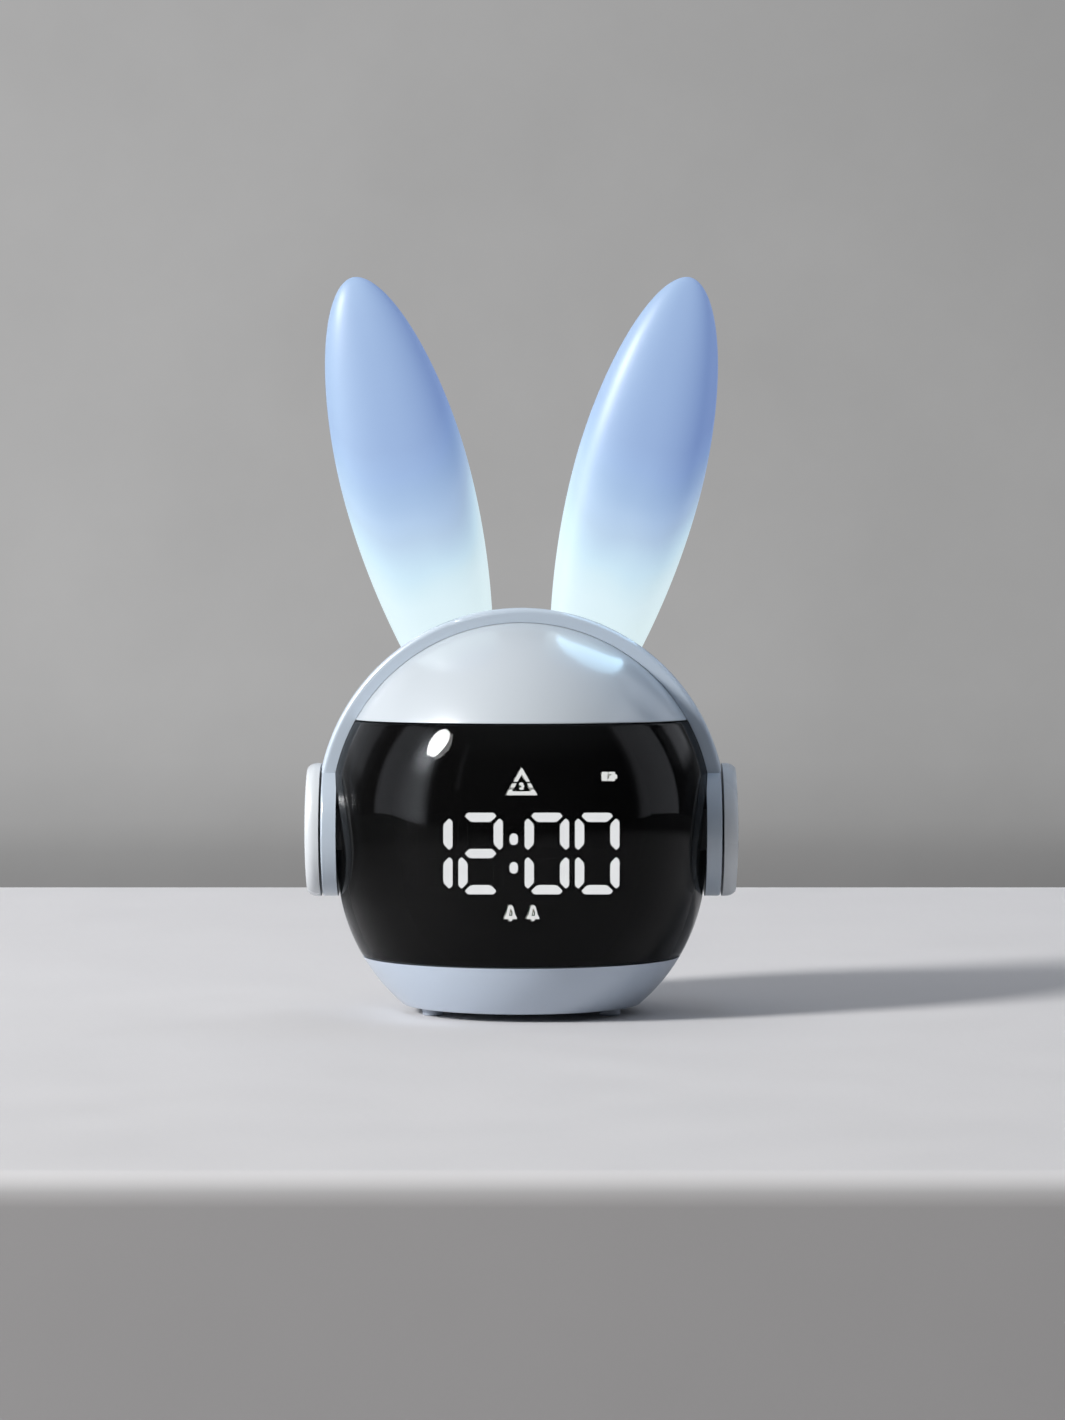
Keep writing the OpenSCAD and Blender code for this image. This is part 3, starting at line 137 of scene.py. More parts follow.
class Paint(Tree):
    """A material with one Principled shader."""

    def __init__(self, name):
        self.material = bpy.data.materials.new(name)
        self.material.use_nodes = True
        super().__init__(self.material.node_tree)
        self.shader = self.node("BsdfPrincipled")
        self.node("OutputMaterial", {"Surface": self.shader.outputs["BSDF"]})

    def set(self, **values):
        """Plain values on the shader's own sockets, with _ for each space in their names."""
        for key, value in values.items():
            self.shader.inputs[key.replace("_", " ")].default_value = value
        return self

    def feed(self, socket, output):
        self.tree.links.new(output, self.shader.inputs[socket])
        return self

    def where(self, stretch=None):
        """The place on the object in metres, each axis times its stretch."""
        coords = self.node("TexCoord").outputs["Object"]
        if stretch is None:
            return coords
        return self.node("Mapping", {"Vector": coords, "Scale": stretch}).outputs["Vector"]

    def noise(self, size, detail=2.0, stretch=None):
        """Noise whose features are about size millimetres across."""
        inputs = {"Vector": self.where(stretch), "Scale": 1 / (size * MM), "Detail": detail}
        return self.node("TexNoise", inputs).outputs["Fac"]

    def mottled(self, fac, low, high):
        """Two colours that run into each other with a noise."""
        return self.ramp(fac, [(NOISE_LOW, low), (NOISE_HIGH, high)])

    def rough(self, size, low, high):
        """Roughness that wanders between two values."""
        return self.feed("Roughness", self.spread(self.noise(size, detail=3), low, high))

    def bump(self, height, depth, strength):
        """Relief that is depth millimetres deep."""
        inputs = {"Height": height, "Distance": depth * MM, "Strength": strength}
        return self.feed("Normal", self.node("Bump", inputs).outputs["Normal"])


# ---------------------------------------------------------------- kinds of material


def shade(colour, factor):
    """A colour made paler or darker by a factor."""
    return tuple(min(1.0, c * factor) for c in colour)


def moulded(name, colour, drift, patch, rough, grain, depth, **values):
    """Moulded plastic: faint flow patches in the colour, uneven gloss and a fine grain.

    The colour wanders by the share drift in patches of patch mm; the grain is grain mm wide.
    """
    p = Paint(name)
    dark, pale = shade(colour, 1 - drift), shade(colour, 1 + drift)
    p.feed("Base Color", p.mottled(p.noise(patch, detail=3), dark, pale))
    p.rough(patch * 0.6, *rough)
    p.bump(p.noise(grain), depth, strength=0.25)
    return p.set(**values).material


def metal(name, colour, rough, squeeze):
    """Plated or painted metal, whose streaks lie flat where squeeze is over 1."""
    p = Paint(name)
    stretch = (1, 1, squeeze)
    streak = p.noise(2.5, detail=4, stretch=stretch)
    p.feed("Base Color", p.mottled(streak, shade(colour, 0.85), shade(colour, 1.08)))
    p.feed("Roughness", p.spread(streak, *rough))
    p.bump(p.noise(0.6, detail=3, stretch=stretch), depth=0.01, strength=0.3)
    return p.set(Metallic=1.0).material


def circuit(name, colour, track, pitch=3.2):
    """Solder mask with copper tracks that show through it."""
    p = Paint(name)
    inputs = {"Vector": p.where(), "Scale": 1 / (pitch * MM)}
    edge = p.node("TexVoronoi", inputs, feature="DISTANCE_TO_EDGE").outputs["Distance"]
    stops = [(0.0, track), (0.05, track), (0.08, colour), (1.0, shade(colour, 1.05))]
    p.feed("Base Color", p.ramp(edge, stops))
    p.rough(size=5, low=0.25, high=0.35)
    return p.bump(edge, depth=0.01, strength=0.3).material


def striped(name, colour, line, pitch):
    """Flat cable: thin conductors, pitch mm apart, under a film."""
    p = Paint(name)
    # at scale 1 a wave is pi / 10 long
    inputs = {"Vector": p.where(), "Scale": math.pi / (10 * pitch * MM)}
    wave = p.node("TexWave", inputs, bands_direction="X").outputs["Fac"]
    p.feed("Base Color", p.ramp(wave, [(0.35, line), (0.6, colour)]))
    p.rough(size=3, low=0.3, high=0.4)
    return p.bump(wave, depth=0.02, strength=0.4).material


def lens_paint():
    """Smoked acrylic: almost black, and a little see-through."""
    p = Paint("smoked_acrylic")
    p.feed("Base Color", p.mottled(p.noise(30), (0.0026, 0.0026, 0.0026), (0.0032, 0.0032, 0.0032)))
    p.rough(size=20, low=0.015, high=0.03)
    return p.set(Alpha=0.62, IOR=1.49, Specular_IOR_Level=0.15).material


def glow_paint(name, strength, colour):
    """Diffuser film lit from behind, a touch uneven from one light to the next."""
    p = Paint(name)
    fac = p.noise(5, detail=1)
    p.feed("Emission Color", p.mottled(fac, shade(colour, 0.97), colour))
    p.feed("Base Color", p.mottled(fac, (0.8, 0.8, 0.8), (0.86, 0.86, 0.86)))
    p.rough(size=2, low=0.45, high=0.55)
    p.bump(p.noise(0.3), depth=0.01, strength=0.2)
    return p.set(Emission_Strength=strength).material


def cell_paint():
    """Printed sleeve of the battery cell, with a dark ring at each end."""
    p = Paint("cell_sleeve")
    half = 25 * MM
    along = p.spread(p.split(p.where())["X"], 0, 1, -half, half)
    blue, dark = (0.07, 0.22, 0.52), (0.02, 0.05, 0.12)
    rings = [(0.0, dark), (0.05, dark), (0.06, blue), (0.93, blue), (0.94, dark), (1.0, dark)]
    p.feed("Base Color", p.ramp(along, rings))
    p.rough(size=4, low=0.2, high=0.35)
    return p.bump(p.noise(6), depth=0.05, strength=0.3).material


# an ear's own light and its plastic's colour, at shares of the way from GLOW_START to GLOW_END
GLOW_START, GLOW_END = 2.5, 92.5
EAR_GLOW = [
    (0.0, (0.66, 0.79, 0.81)), (0.07, (0.62, 0.75, 0.79)), (0.12, (0.55, 0.69, 0.75)),
    (0.16, (0.47, 0.62, 0.72)), (0.20, (0.39, 0.52, 0.65)), (0.25, (0.30, 0.40, 0.56)),
    (0.29, (0.25, 0.345, 0.535)), (0.34, (0.186, 0.278, 0.488)), (0.38, (0.154, 0.242, 0.465)),
    (0.43, (0.130, 0.212, 0.458)), (0.50, (0.107, 0.178, 0.42)), (1.0, (0.107, 0.178, 0.41)),
]
EAR_PLASTIC = [
    (0.0, (0.10, 0.12, 0.14)), (0.12, (0.13, 0.17, 0.19)), (0.3, (0.22, 0.285, 0.31)),
    (1.0, (0.225, 0.29, 0.315)),
]
# the glow climbs higher along both edges of an ear, and it fades a little unevenly
EDGE_CLIMB, EDGE_POWER = 17, 4.0
CLOUD_SIZE, CLOUD_HEIGHT = 15, 6


def ear_paint():
    """Translucent moulding whose light fades along the ear, from the root upwards."""
    p = Paint("ear_translucent")
    sine, cosine = math.sin(EAR_TILT), math.cos(EAR_TILT)
    x, _, z = p.split(p.where())
    # the distance from the middle of the clock serves both ears alike
    out = p.calc("ABSOLUTE", x)
    along = p.times_add(out, sine, p.times(z, cosine))
    root = (EAR_X * sine + EAR_ROOT_Z * cosine) * MM
    middle = (EAR_X * cosine - EAR_ROOT_Z * sine) * MM
    across = p.times_add(out, cosine, p.times_add(z, -sine, -middle))
    edge = p.calc("ABSOLUTE", p.calc("DIVIDE", across, EAR_HALF * MM))
    climbed = p.times_add(p.calc("POWER", edge, EDGE_POWER), -EDGE_CLIMB * MM, along)
    cloudy = p.times_add(p.noise(CLOUD_SIZE, detail=1.5), CLOUD_HEIGHT * MM, climbed)
    up = p.spread(cloudy, 0, 1, root + GLOW_START * MM, root + GLOW_END * MM)
    p.feed("Emission Color", p.ramp(up, EAR_GLOW))
    p.feed("Base Color", p.ramp(up, EAR_PLASTIC))
    p.rough(size=12, low=0.42, high=0.48)
    p.bump(p.noise(1.2), depth=0.015, strength=0.15)
    p.set(Emission_Strength=1.0, Specular_IOR_Level=0.27, Coat_Weight=0.05, Coat_Roughness=0.3)
    return p.material


# ---------------------------------------------------------------- materials of the nodes

SATIN = {"drift": 0.005, "grain": 0.6, "depth": 0.005}

shell = moulded("shell_moulding", (0.472, 0.512, 0.547), patch=30, rough=(0.275, 0.29), **SATIN,
                Specular_IOR_Level=0.36, Coat_Weight=0.3, Coat_Roughness=0.13)
# the base takes the shell plastic tinted bluer: a painted tint for the bluer light on the base
base_shell = moulded("base_moulding_bluer_light", (0.460, 0.529, 0.628), patch=30, rough=(0.275, 0.29), **SATIN,
                     Coat_Weight=0.4, Coat_Roughness=0.13)
band = moulded("band_moulding", (0.455, 0.522, 0.60), patch=24, rough=(0.28, 0.30), **SATIN,
               Coat_Weight=0.5, Coat_Roughness=0.1)
cap = moulded("cap_moulding", (0.60, 0.63, 0.66), patch=24, rough=(0.26, 0.28), **SATIN,
              Specular_IOR_Level=0.33, Coat_Weight=0.15, Coat_Roughness=0.1)
lens = lens_paint()
ear_glow = ear_paint()
digit_glow = glow_paint("digit_film", 5.2, (0.97, 0.985, 1.0))
sign_glow = glow_paint("sign_film", 5.0, (0.97, 0.98, 0.97))

SLOTS = {
    "shell_plastic": shell,
    "band_plastic": band,
    "cap_plastic": cap,
    "lens_tint": lens,
    "ear_plastic": ear_glow,
    "lit_diffuser": digit_glow,
    "mask_black": moulded("mask_moulding", (0.004, 0.004, 0.0045), drift=0.2, patch=10,
                          rough=(0.6, 0.75), grain=0.3, depth=0.02, Specular_IOR_Level=0.2),
    "dark_diffuser": moulded("diffuser_unlit", (0.006, 0.006, 0.007), drift=0.2, patch=6,
                             rough=(0.6, 0.7), grain=0.3, depth=0.02, Specular_IOR_Level=0.2),
    "inner_plastic": moulded("frame_moulding", (0.10, 0.11, 0.12), drift=0.08, patch=12,
                             rough=(0.45, 0.6), grain=0.4, depth=0.03),
    "white_plastic": moulded("white_moulding", (0.78, 0.78, 0.76), drift=0.03, patch=8,
                             rough=(0.4, 0.5), grain=0.4, depth=0.02),
    "led": moulded("led_package", (0.80, 0.78, 0.55), drift=0.06, patch=1.5,
                   rough=(0.1, 0.2), grain=0.2, depth=0.01, Coat_Weight=0.6),
    "board": circuit("green_board", (0.02, 0.16, 0.07), track=(0.05, 0.28, 0.12)),
    "ear_board": circuit("white_board", (0.75, 0.75, 0.73), track=(0.60, 0.60, 0.57)),
    "chip": moulded("chip_package", (0.03, 0.03, 0.033), drift=0.15, patch=3,
                    rough=(0.45, 0.6), grain=0.15, depth=0.02),
    "switch_body": moulded("switch_moulding", (0.035, 0.035, 0.04), drift=0.12, patch=3,
                           rough=(0.4, 0.5), grain=0.2, depth=0.02),
    "steel": metal("zinc_plate", (0.62, 0.63, 0.65), rough=(0.25, 0.4), squeeze=12),
    "foil_cell": cell_paint(),
    "strap": moulded("strap_rubber", (0.02, 0.02, 0.022), drift=0.15, patch=4,
                     rough=(0.6, 0.75), grain=0.3, depth=0.04),
    "ribbon": striped("flat_cable", (0.72, 0.68, 0.55), line=(0.50, 0.46, 0.36), pitch=0.5),
    "wire": moulded("wire_cover", (0.42, 0.03, 0.025), drift=0.1, patch=3,
                    rough=(0.3, 0.4), grain=0.3, depth=0.01),
    "basket": metal("painted_basket", (0.16, 0.17, 0.18), rough=(0.4, 0.55), squeeze=1),
    "cone": moulded("pressed_paper", (0.05, 0.048, 0.046), drift=0.25, patch=0.8,
                    rough=(0.75, 0.9), grain=0.25, depth=0.06),
    "magnet": metal("magnet_plate", (0.35, 0.36, 0.38), rough=(0.35, 0.5), squeeze=4),
    "foot_rubber": moulded("foot_rubber", (0.42, 0.47, 0.55), drift=0.05, patch=3,
                           rough=(0.5, 0.62), grain=0.3, depth=0.03),
}

for part in frame["record"]["subparts"]:
    # the base shell gets the bluer copy, a painted tint
    paint = base_shell if part["node"] == "base_shell" else SLOTS[part["material_slot"]]
    node = frame["nodes"][part["node"]]
    node.data.materials.clear()
    node.data.materials.append(paint)


# ---------------------------------------------------------------- pieces and outlines


def add_piece(name, mesh, paint, node):
    """A piece of the housing that stands for a node of the solids."""
    mesh.materials.append(paint)
    piece = bpy.data.objects.new(name, mesh)
    bpy.context.scene.collection.objects.link(piece)
    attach(piece, "housing")
    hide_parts(node)


def smooth_mesh(name, points, faces, angle):
    """A mesh that is smooth except over edges sharper than angle, in degrees."""
    mesh = bpy.data.meshes.new(name)
    mesh.from_pydata(points, [], faces)
    mesh.update()
    mesh.polygons.foreach_set("use_smooth", [True] * len(mesh.polygons))
    mesh.set_sharp_from_angle(angle=math.radians(angle))
    return mesh


def round_corner(before, corner, after, radius, steps):
    """Points of a small round between two lines that meet at corner."""
    c = Vector(corner)
    a = c + (Vector(before) - c).normalized() * radius
    b = c + (Vector(after) - c).normalized() * radius
    shares = [i / steps for i in range(steps + 1)]
    return [tuple(a * (1 - t) ** 2 + c * 2 * t * (1 - t) + b * t ** 2) for t in shares]


def round_loop(loop, radii, steps=4):
    """A closed outline with the corners named in radii rounded; others stay."""
    out = []
    for i, point in enumerate(loop):
        if i in radii:
            out += round_corner(loop[i - 1], point, loop[(i + 1) % len(loop)], radii[i], steps)
        else:
            out.append(tuple(point))
    return out


def oval(angle, power=2.4):
    """A point of the unit circle, drawn out towards a square as power rises over 2."""
    return [math.copysign(abs(v) ** (2 / power), v) for v in (math.cos(angle), math.sin(angle))]


def turn_angles(count):
    """Evenly spaced angles once round a circle."""
    return [2 * math.pi * k / count for k in range(count)]


# ---------------------------------------------------------------- forehead and lens

SKIN_STEP, LEAN_STEPS, TURN_STEPS = 0.8, 12, 160
# the inner edge's round as a share of the outer edge's
INNER_ROUND = 0.6


def arc(radius, centre, low, high):
    """Radius and height along a ball's skin between two heights."""
    first = math.asin((low - centre) / radius)
    last = math.asin(min(1, (high - centre) / radius))
    count = max(2, round(radius * (last - first) / SKIN_STEP))
    angles = [first + (last - first) * i / count for i in range(count + 1)]
    return [(radius * math.cos(a), centre + radius * math.sin(a)) for a in angles]


def skin_line(inset, low, high):
    """Radius and height along the head's skin, drawn in by inset, from low up to high."""
    upper, lower = HEAD_R - inset, JOWL_R - inset
    upper_z, lower_z = HEAD_Z - upper * math.sin(LEAN), JOWL_Z - lower * math.sin(LEAN)
    path = []
    if low < lower_z:
        path += arc(lower, JOWL_Z, low, min(high, lower_z))
    if low < upper_z < high:
        for i in range(1, LEAN_STEPS):
            share = i / LEAN_STEPS
            z = lower_z + (upper_z - lower_z) * share
            if z > low:
                path.append((math.cos(LEAN) * (lower + (upper - lower) * share), z))
    if high > upper_z:
        path += arc(upper, HEAD_Z, max(low, upper_z), high)
    return path


def skin_side(inset, low, high, open_top):
    """One side of the skin; the points nearest to its rims give way to the rims' rounds."""
    path = [p for p in skin_line(inset, low, high) if not open_top or p[0] > TOP_GAP]
    near = RIM_ROUND * 1.5
    top = math.inf if open_top else high - near
    return path[:1] + [p for p in path[1:-1] if low + near < p[1] < top] + path[-1:]


def skin_loop(low, high, open_top):
    """Closed outline of the skin between two heights."""
    outer = skin_side(0, low, high, open_top)
    inner = skin_side(WALL, low, high, open_top)
    loop = outer + inner[::-1]
    radii = {0: RIM_ROUND, len(loop) - 1: RIM_ROUND * INNER_ROUND}
    if not open_top:
        radii[len(outer) - 1] = RIM_ROUND
        radii[len(outer)] = RIM_ROUND * INNER_ROUND
    return round_loop(loop, radii)


def half_turn(loop):
    """The front half of an outline turned about Z, cut flat just in front of the middle."""
    points, faces, n = [], [], len(loop)
    for k in range(TURN_STEPS + 1):
        for r, z in loop:
            start = math.asin(HALF_SEAM / r)
            a = start + (math.pi - 2 * start) * k / TURN_STEPS
            points.append(Vector((r * math.cos(a), -r * math.sin(a), z)) * MM)
    for k in range(TURN_STEPS):
        for i in range(n):
            j = (i + 1) % n
            faces.append((k * n + i, (k + 1) * n + i, (k + 1) * n + j, k * n + j))
    faces.append(tuple(range(n)))
    faces.append(tuple(TURN_STEPS * n + i for i in reversed(range(n))))
    return points, faces


forehead_loop = skin_loop(BROW_Z + HALF_SEAM, HEAD_Z + HEAD_R, open_top=True)
forehead = smooth_mesh("forehead_skin", *half_turn(forehead_loop), angle=35)
add_piece("forehead_skin", forehead, shell, "forehead_shell")

lens_loop = skin_loop(CHIN_Z + HALF_SEAM, BROW_Z - HALF_SEAM, open_top=False)
lens_band = smooth_mesh("lens_skin", *half_turn(lens_loop), angle=35)
add_piece("lens_skin", lens_band, lens, "display_lens")


# ---------------------------------------------------------------- ears

EAR_SIDES, EAR_RINGS = 112, 90
# the powers that shape the rounded tip's outline
TIP_FALL, TIP_SQUARE = 1.864, 1.893
# the last ring stops this share of a ring short of the tip
TIP_SHORT = 0.02
# the root stands clear of the headband by this
ROOT_CLEAR = 0.02
# the middle of the headband, seen from an ear's own root and axis
BAND_W = EAR_RISE * math.sin(EAR_TILT) - EAR_X * math.cos(EAR_TILT)
BAND_U = -EAR_RISE * math.cos(EAR_TILT) - EAR_X * math.sin(EAR_TILT)


def ear_half(u):
    """Half the ear's width at u along its axis."""
    if u > WIDE_AT:
        share = min(1.0, (u - WIDE_AT) / (EAR_LEN - WIDE_AT))
        return EAR_HALF * (1 - share ** TIP_FALL) ** (1 / TIP_SQUARE)
    return EAR_HALF - (EAR_HALF - ROOT_HALF) * ((WIDE_AT - u) / WIDE_AT) ** 2


def ear_root(w):
    """Where the ear starts along its axis, w off the axis, on the headband's curve."""
    return BAND_U + math.sqrt((BAND_R + ROOT_CLEAR) ** 2 - (w - BAND_W) ** 2)


def ear_point(c, s, share):
    """A point of the ear's skin on the side (c, s), from the root at 0 to the tip at 1."""
    # the root's width and its height on the headband settle each other in a few rounds
    w = ROOT_HALF * c
    for _ in range(4):
        w = ear_half(ear_root(w)) * c
    low = ear_root(w)
    u = low + (EAR_LEN - low) * math.sin(math.pi / 2 * share)
    half = ear_half(u)
    return half * c, half * EAR_DEPTH * s, u


def ear_mesh():
    """Points and faces of an ear that stands upright on its root."""
    points, faces = [], []
    for i in range(EAR_RINGS + 1):
        for angle in turn_angles(EAR_SIDES):
            points.append(ear_point(*oval(angle), i / (EAR_RINGS + TIP_SHORT)))
    tip, root = len(points), len(points) + 1
    points += [(0, 0, EAR_LEN), (0, 0, ear_root(0))]
    last = EAR_RINGS * EAR_SIDES
    for i in range(EAR_RINGS):
        low, high = i * EAR_SIDES, (i + 1) * EAR_SIDES
        for k in range(EAR_SIDES):
            j = (k + 1) % EAR_SIDES
            faces.append((low + k, low + j, high + j, high + k))
    for k in range(EAR_SIDES):
        j = (k + 1) % EAR_SIDES
        faces.append((last + k, last + j, tip))
        faces.append((j, k, root))
    return points, faces


ear_points, ear_faces = ear_mesh()
ear_at = Matrix.Translation((EAR_X, 0, EAR_ROOT_Z)) @ Matrix.Rotation(EAR_TILT, 4, "Y")
for side, node in ((1, "right_ear"), (-1, "left_ear")):
    placed = [ear_at @ Vector(p) for p in ear_points]
    points = [Vector((side * x, y, z)) * MM for x, y, z in placed]
    faces = ear_faces if side > 0 else [tuple(reversed(f)) for f in ear_faces]
    mesh = smooth_mesh(node + "_moulding", points, faces, angle=60)
    add_piece(node + "_moulding", mesh, ear_glow, node)


# ---------------------------------------------------------------- digits

SCREEN_Y, FILM_T, DIGITS_Z = 32.4, 1.0, 40.7
DIGITS_SHOWN, DIGIT_X = (1, 2, 0, 0), (-21.575, -9.625, 6.125, 18.075)
# a digit's bars go clockwise from the top, and the seventh lies in the middle
BARS = {0: (0, 1, 2, 3, 4, 5), 1: (1, 2), 2: (0, 1, 3, 4, 6)}
BAR_LEN, BAR_W, BAR_TIP = 7.5, 2.15, 0.3
OUTER_CUT, INNER_CUT, MIDDLE_CUT = 0.75, 1.45, 1.1
OUTER_ROUND, NOTCH_ROUND = 0.42, 0.75
# from a digit's middle to its upright bars, to its top bar and to the middle of an upright bar
SIDE_X, ROW_Z, SIDE_Z = 8.37 / 2, 8.6, 4.6
# for each bar: its turn in degrees, and the x and z of its middle
BAR_PLACES = (
    (0, 0, ROW_Z), (-90, SIDE_X, SIDE_Z), (-90, SIDE_X, -SIDE_Z),
    (180, 0, -ROW_Z), (90, -SIDE_X, -SIDE_Z), (90, -SIDE_X, SIDE_Z), (0, 0, 0),
)
MIDDLE_BAR = 6
COLON_X, COLON_Z, COLON_HALVES = -1.75, 3.4, (0.98, 1.33)


def flat_glow(name, loops, paint, node):
    """Film cut to closed loops of x and z; a loop inside another is a hole in it."""
    curve = bpy.data.curves.new(name, "CURVE")
    curve.dimensions = "2D"
    curve.fill_mode = "BOTH"
    curve.extrude = FILM_T / 2 * MM
    for loop in loops:
        spline = curve.splines.new("POLY")
        spline.points.add(len(loop) - 1)
        for point, (x, z) in zip(spline.points, loop):
            point.co = (x * MM, z * MM, 0, 1)
        spline.use_cyclic_u = True
    holder = bpy.data.objects.new(name + "_outline", curve)
    bpy.context.scene.collection.objects.link(holder)
    bpy.context.view_layer.update()
    shaped = holder.evaluated_get(bpy.context.evaluated_depsgraph_get())
    mesh = bpy.data.meshes.new_from_object(shaped)
    bpy.data.objects.remove(holder)
    bpy.data.curves.remove(curve)
    middle = Matrix.Translation((0, (FILM_T / 2 - SCREEN_Y) * MM, 0))
    mesh.transform(middle @ Matrix.Rotation(math.pi / 2, 4, "X"))
    mesh.name = name
    mesh.materials.clear()
    add_piece(name, mesh, paint, node)


def moved(loop, x, z):
    return [(x + px, z + pz) for px, pz in loop]


def turned(loop, degrees, x, z):
    """A loop turned about its own origin and moved to x and z."""
    c, s = math.cos(math.radians(degrees)), math.sin(math.radians(degrees))
    return [(x + px * c - pz * s, z + px * s + pz * c) for px, pz in loop]


def ellipse(x, z, half_x, half_z, steps=24, power=2.4):
    points = [oval(angle, power) for angle in turn_angles(steps)]
    return [(x + half_x * c, z + half_z * s) for c, s in points]


def bar_loop(bar):
    """A bar with pointed ends; its lower corners are cut further back than its upper ones."""
    if bar == MIDDLE_BAR:
        outer_cut, inner_cut, tip = MIDDLE_CUT, MIDDLE_CUT, 0
    else:
        outer_cut, inner_cut, tip = OUTER_CUT, INNER_CUT, BAR_TIP
    half, side = BAR_LEN / 2, BAR_W / 2
    loop = [(-half, tip), (outer_cut - half, side), (half - outer_cut, side),
            (half, tip), (half - inner_cut, -side), (inner_cut - half, -side)]
    radii = {0: OUTER_ROUND, 1: OUTER_ROUND, 2: OUTER_ROUND, 3: OUTER_ROUND,
             4: NOTCH_ROUND, 5: NOTCH_ROUND}
    return turned(round_loop(loop, radii, steps=6), *BAR_PLACES[bar])


digit_loops = []
for digit, digit_x in zip(DIGITS_SHOWN, DIGIT_X):
    digit_loops += [moved(bar_loop(bar), digit_x, DIGITS_Z) for bar in BARS[digit]]
for up in (-1, 1):
    digit_loops.append(ellipse(COLON_X, DIGITS_Z + up * COLON_Z, *COLON_HALVES))
flat_glow("digits_film", digit_loops, digit_glow, "lit_segments")


# ---------------------------------------------------------------- signs

SIGN_X, SIGN_Z, SIGN_W, SIGN_H, STROKE = 0.19, DIGITS_Z + 13.9, 7.5, 6.65, 0.82
# the triangle's border is whole below FOOT_TOP, from SIDE_LOW to SIDE_TOP and above NECK
FOOT_TOP, SIDE_LOW, SIDE_TOP, NECK = 1.25, 1.85, 2.75, 3.2
FOOT_ROUND, CUT_ROUND, SIDE_ROUND, TOP_ROUND = 0.3, 0.12, 0.08, 0.35
FLOOR_Z, FLOOR_BEVEL = STROKE + 0.02, 0.25
# the mark in the triangle: x, z, half sizes and steps of three dots
DOTS = ((-0.16, 2.62, 0.52, 0.38, 16), (0.22, 2.1, 0.36, 0.34, 12), (-0.1, 1.52, 0.6, 0.3, 16))

CELL_X, CELL_Z = 21.0, DIGITS_Z + 18.35
CELL = [(-1.82, -1.05), (1.36, -1.05), (1.36, -0.58), (1.8, -0.48),
        (1.8, 0.18), (1.36, 0.5), (1.36, 1.05), (-1.82, 1.05)]
CELL_ROUNDS = {0: 0.3, 1: 0.25, 6: 0.25, 7: 0.3}
BOLT = [(-0.6, 0.45), (0.6, 0.55), (-0.05, 0.02), (-0.3, -0.7), (-0.5, -0.05), (-0.05, 0.2)]

BELL_APART, BELL_Z = 2.68, DIGITS_Z - 16.05
BELL_SIDE = [(1.45, 0.5), (1.45, 0.85), (1.12, 1.4), (0.86, 2.45), (0.65, 3.2), (0.32, 3.65)]
CLAPPER = [(-0.5, 0.5), (-0.38, 0.18), (0, 0.02), (0.38, 0.18), (0.5, 0.5)]
BELL = BELL_SIDE + [(-x, z) for x, z in reversed(BELL_SIDE)] + CLAPPER
BELL_HOLE = [(-0.4, 1.17), (0.38, 1.17), (0.45, 2.07), (0.1, 2.95), (-0.08, 2.9)]
BELL_INLAY = [(-0.1, 1.46), (0.1, 1.46), (0.14, 1.9), (-0.02, 2.15)]


def triangle(inset):
    """Left foot, right foot and tip of the sign's triangle, drawn in by inset."""
    side = math.hypot(SIGN_W / 2, SIGN_H)
    inside = SIGN_W * SIGN_H / (SIGN_W + 2 * side)
    share = (inside - inset) / inside
    half, foot = SIGN_W / 2 * share, inside * (1 - share)
    return [(-half, foot), (half, foot), (0, inside + (SIGN_H - inside) * share)]


def half_width(tri, z):
    """Half the width of a triangle at a height."""
    (x0, z0), (_, z1) = tri[0], tri[2]
    return abs(x0) * (z1 - z) / (z1 - z0)


def triangle_sign():
    """A triangle whose border is broken twice on each side, with three dots inside."""
    outer, inner = triangle(0), triangle(STROKE)
    foot_out, foot_in = half_width(outer, FOOT_TOP), half_width(inner, FOOT_TOP) + FLOOR_BEVEL
    floor_in = half_width(inner, FLOOR_Z) - FLOOR_BEVEL
    foot = [(-SIGN_W / 2, 0), (SIGN_W / 2, 0), (foot_out, FOOT_TOP), (foot_in, FOOT_TOP),
            (floor_in, FLOOR_Z), (-floor_in, FLOOR_Z), (-foot_in, FOOT_TOP), (-foot_out, FOOT_TOP)]
    rounds = {0: FOOT_ROUND, 1: FOOT_ROUND, 2: CUT_ROUND, 3: CUT_ROUND, 6: CUT_ROUND, 7: CUT_ROUND}
    loops = [round_loop(foot, rounds, steps=3)]
    for side in (-1, 1):
        corners = ((outer, SIDE_LOW), (outer, SIDE_TOP), (inner, SIDE_TOP), (inner, SIDE_LOW))
        loop = [(side * half_width(tri, z), z) for tri, z in corners]
        loops.append(round_loop(loop, dict.fromkeys(range(4), SIDE_ROUND), steps=2))
    neck_out, neck_in = half_width(outer, NECK), half_width(inner, NECK)
    top = [(-neck_out, NECK), (-neck_in, NECK), inner[2],
           (neck_in, NECK), (neck_out, NECK), outer[2]]
    rounds = {0: CUT_ROUND, 1: CUT_ROUND, 3: CUT_ROUND, 4: CUT_ROUND, 5: TOP_ROUND}
    loops.append(round_loop(top, rounds, steps=3))
    loops += [ellipse(*dot, power=2) for dot in DOTS]
    return [moved(loop, SIGN_X, SIGN_Z) for loop in loops]


def cell_sign():
    """A cell with a pole, and a bolt cut out of it."""
    cell = moved(CELL, CELL_X, CELL_Z)
    return [round_loop(cell, CELL_ROUNDS, steps=3), moved(BOLT, CELL_X, CELL_Z)]


def bell_signs():
    """Two bells, each with a hole and an inlay in it."""
    return [moved(loop, SIGN_X + side * BELL_APART, BELL_Z)
            for side in (-1, 1) for loop in (BELL, BELL_HOLE, BELL_INLAY)]


flat_glow("signs_film", triangle_sign() + cell_sign() + bell_signs(), sign_glow, "display_icons")


# ---------------------------------------------------------------- slab, in metres

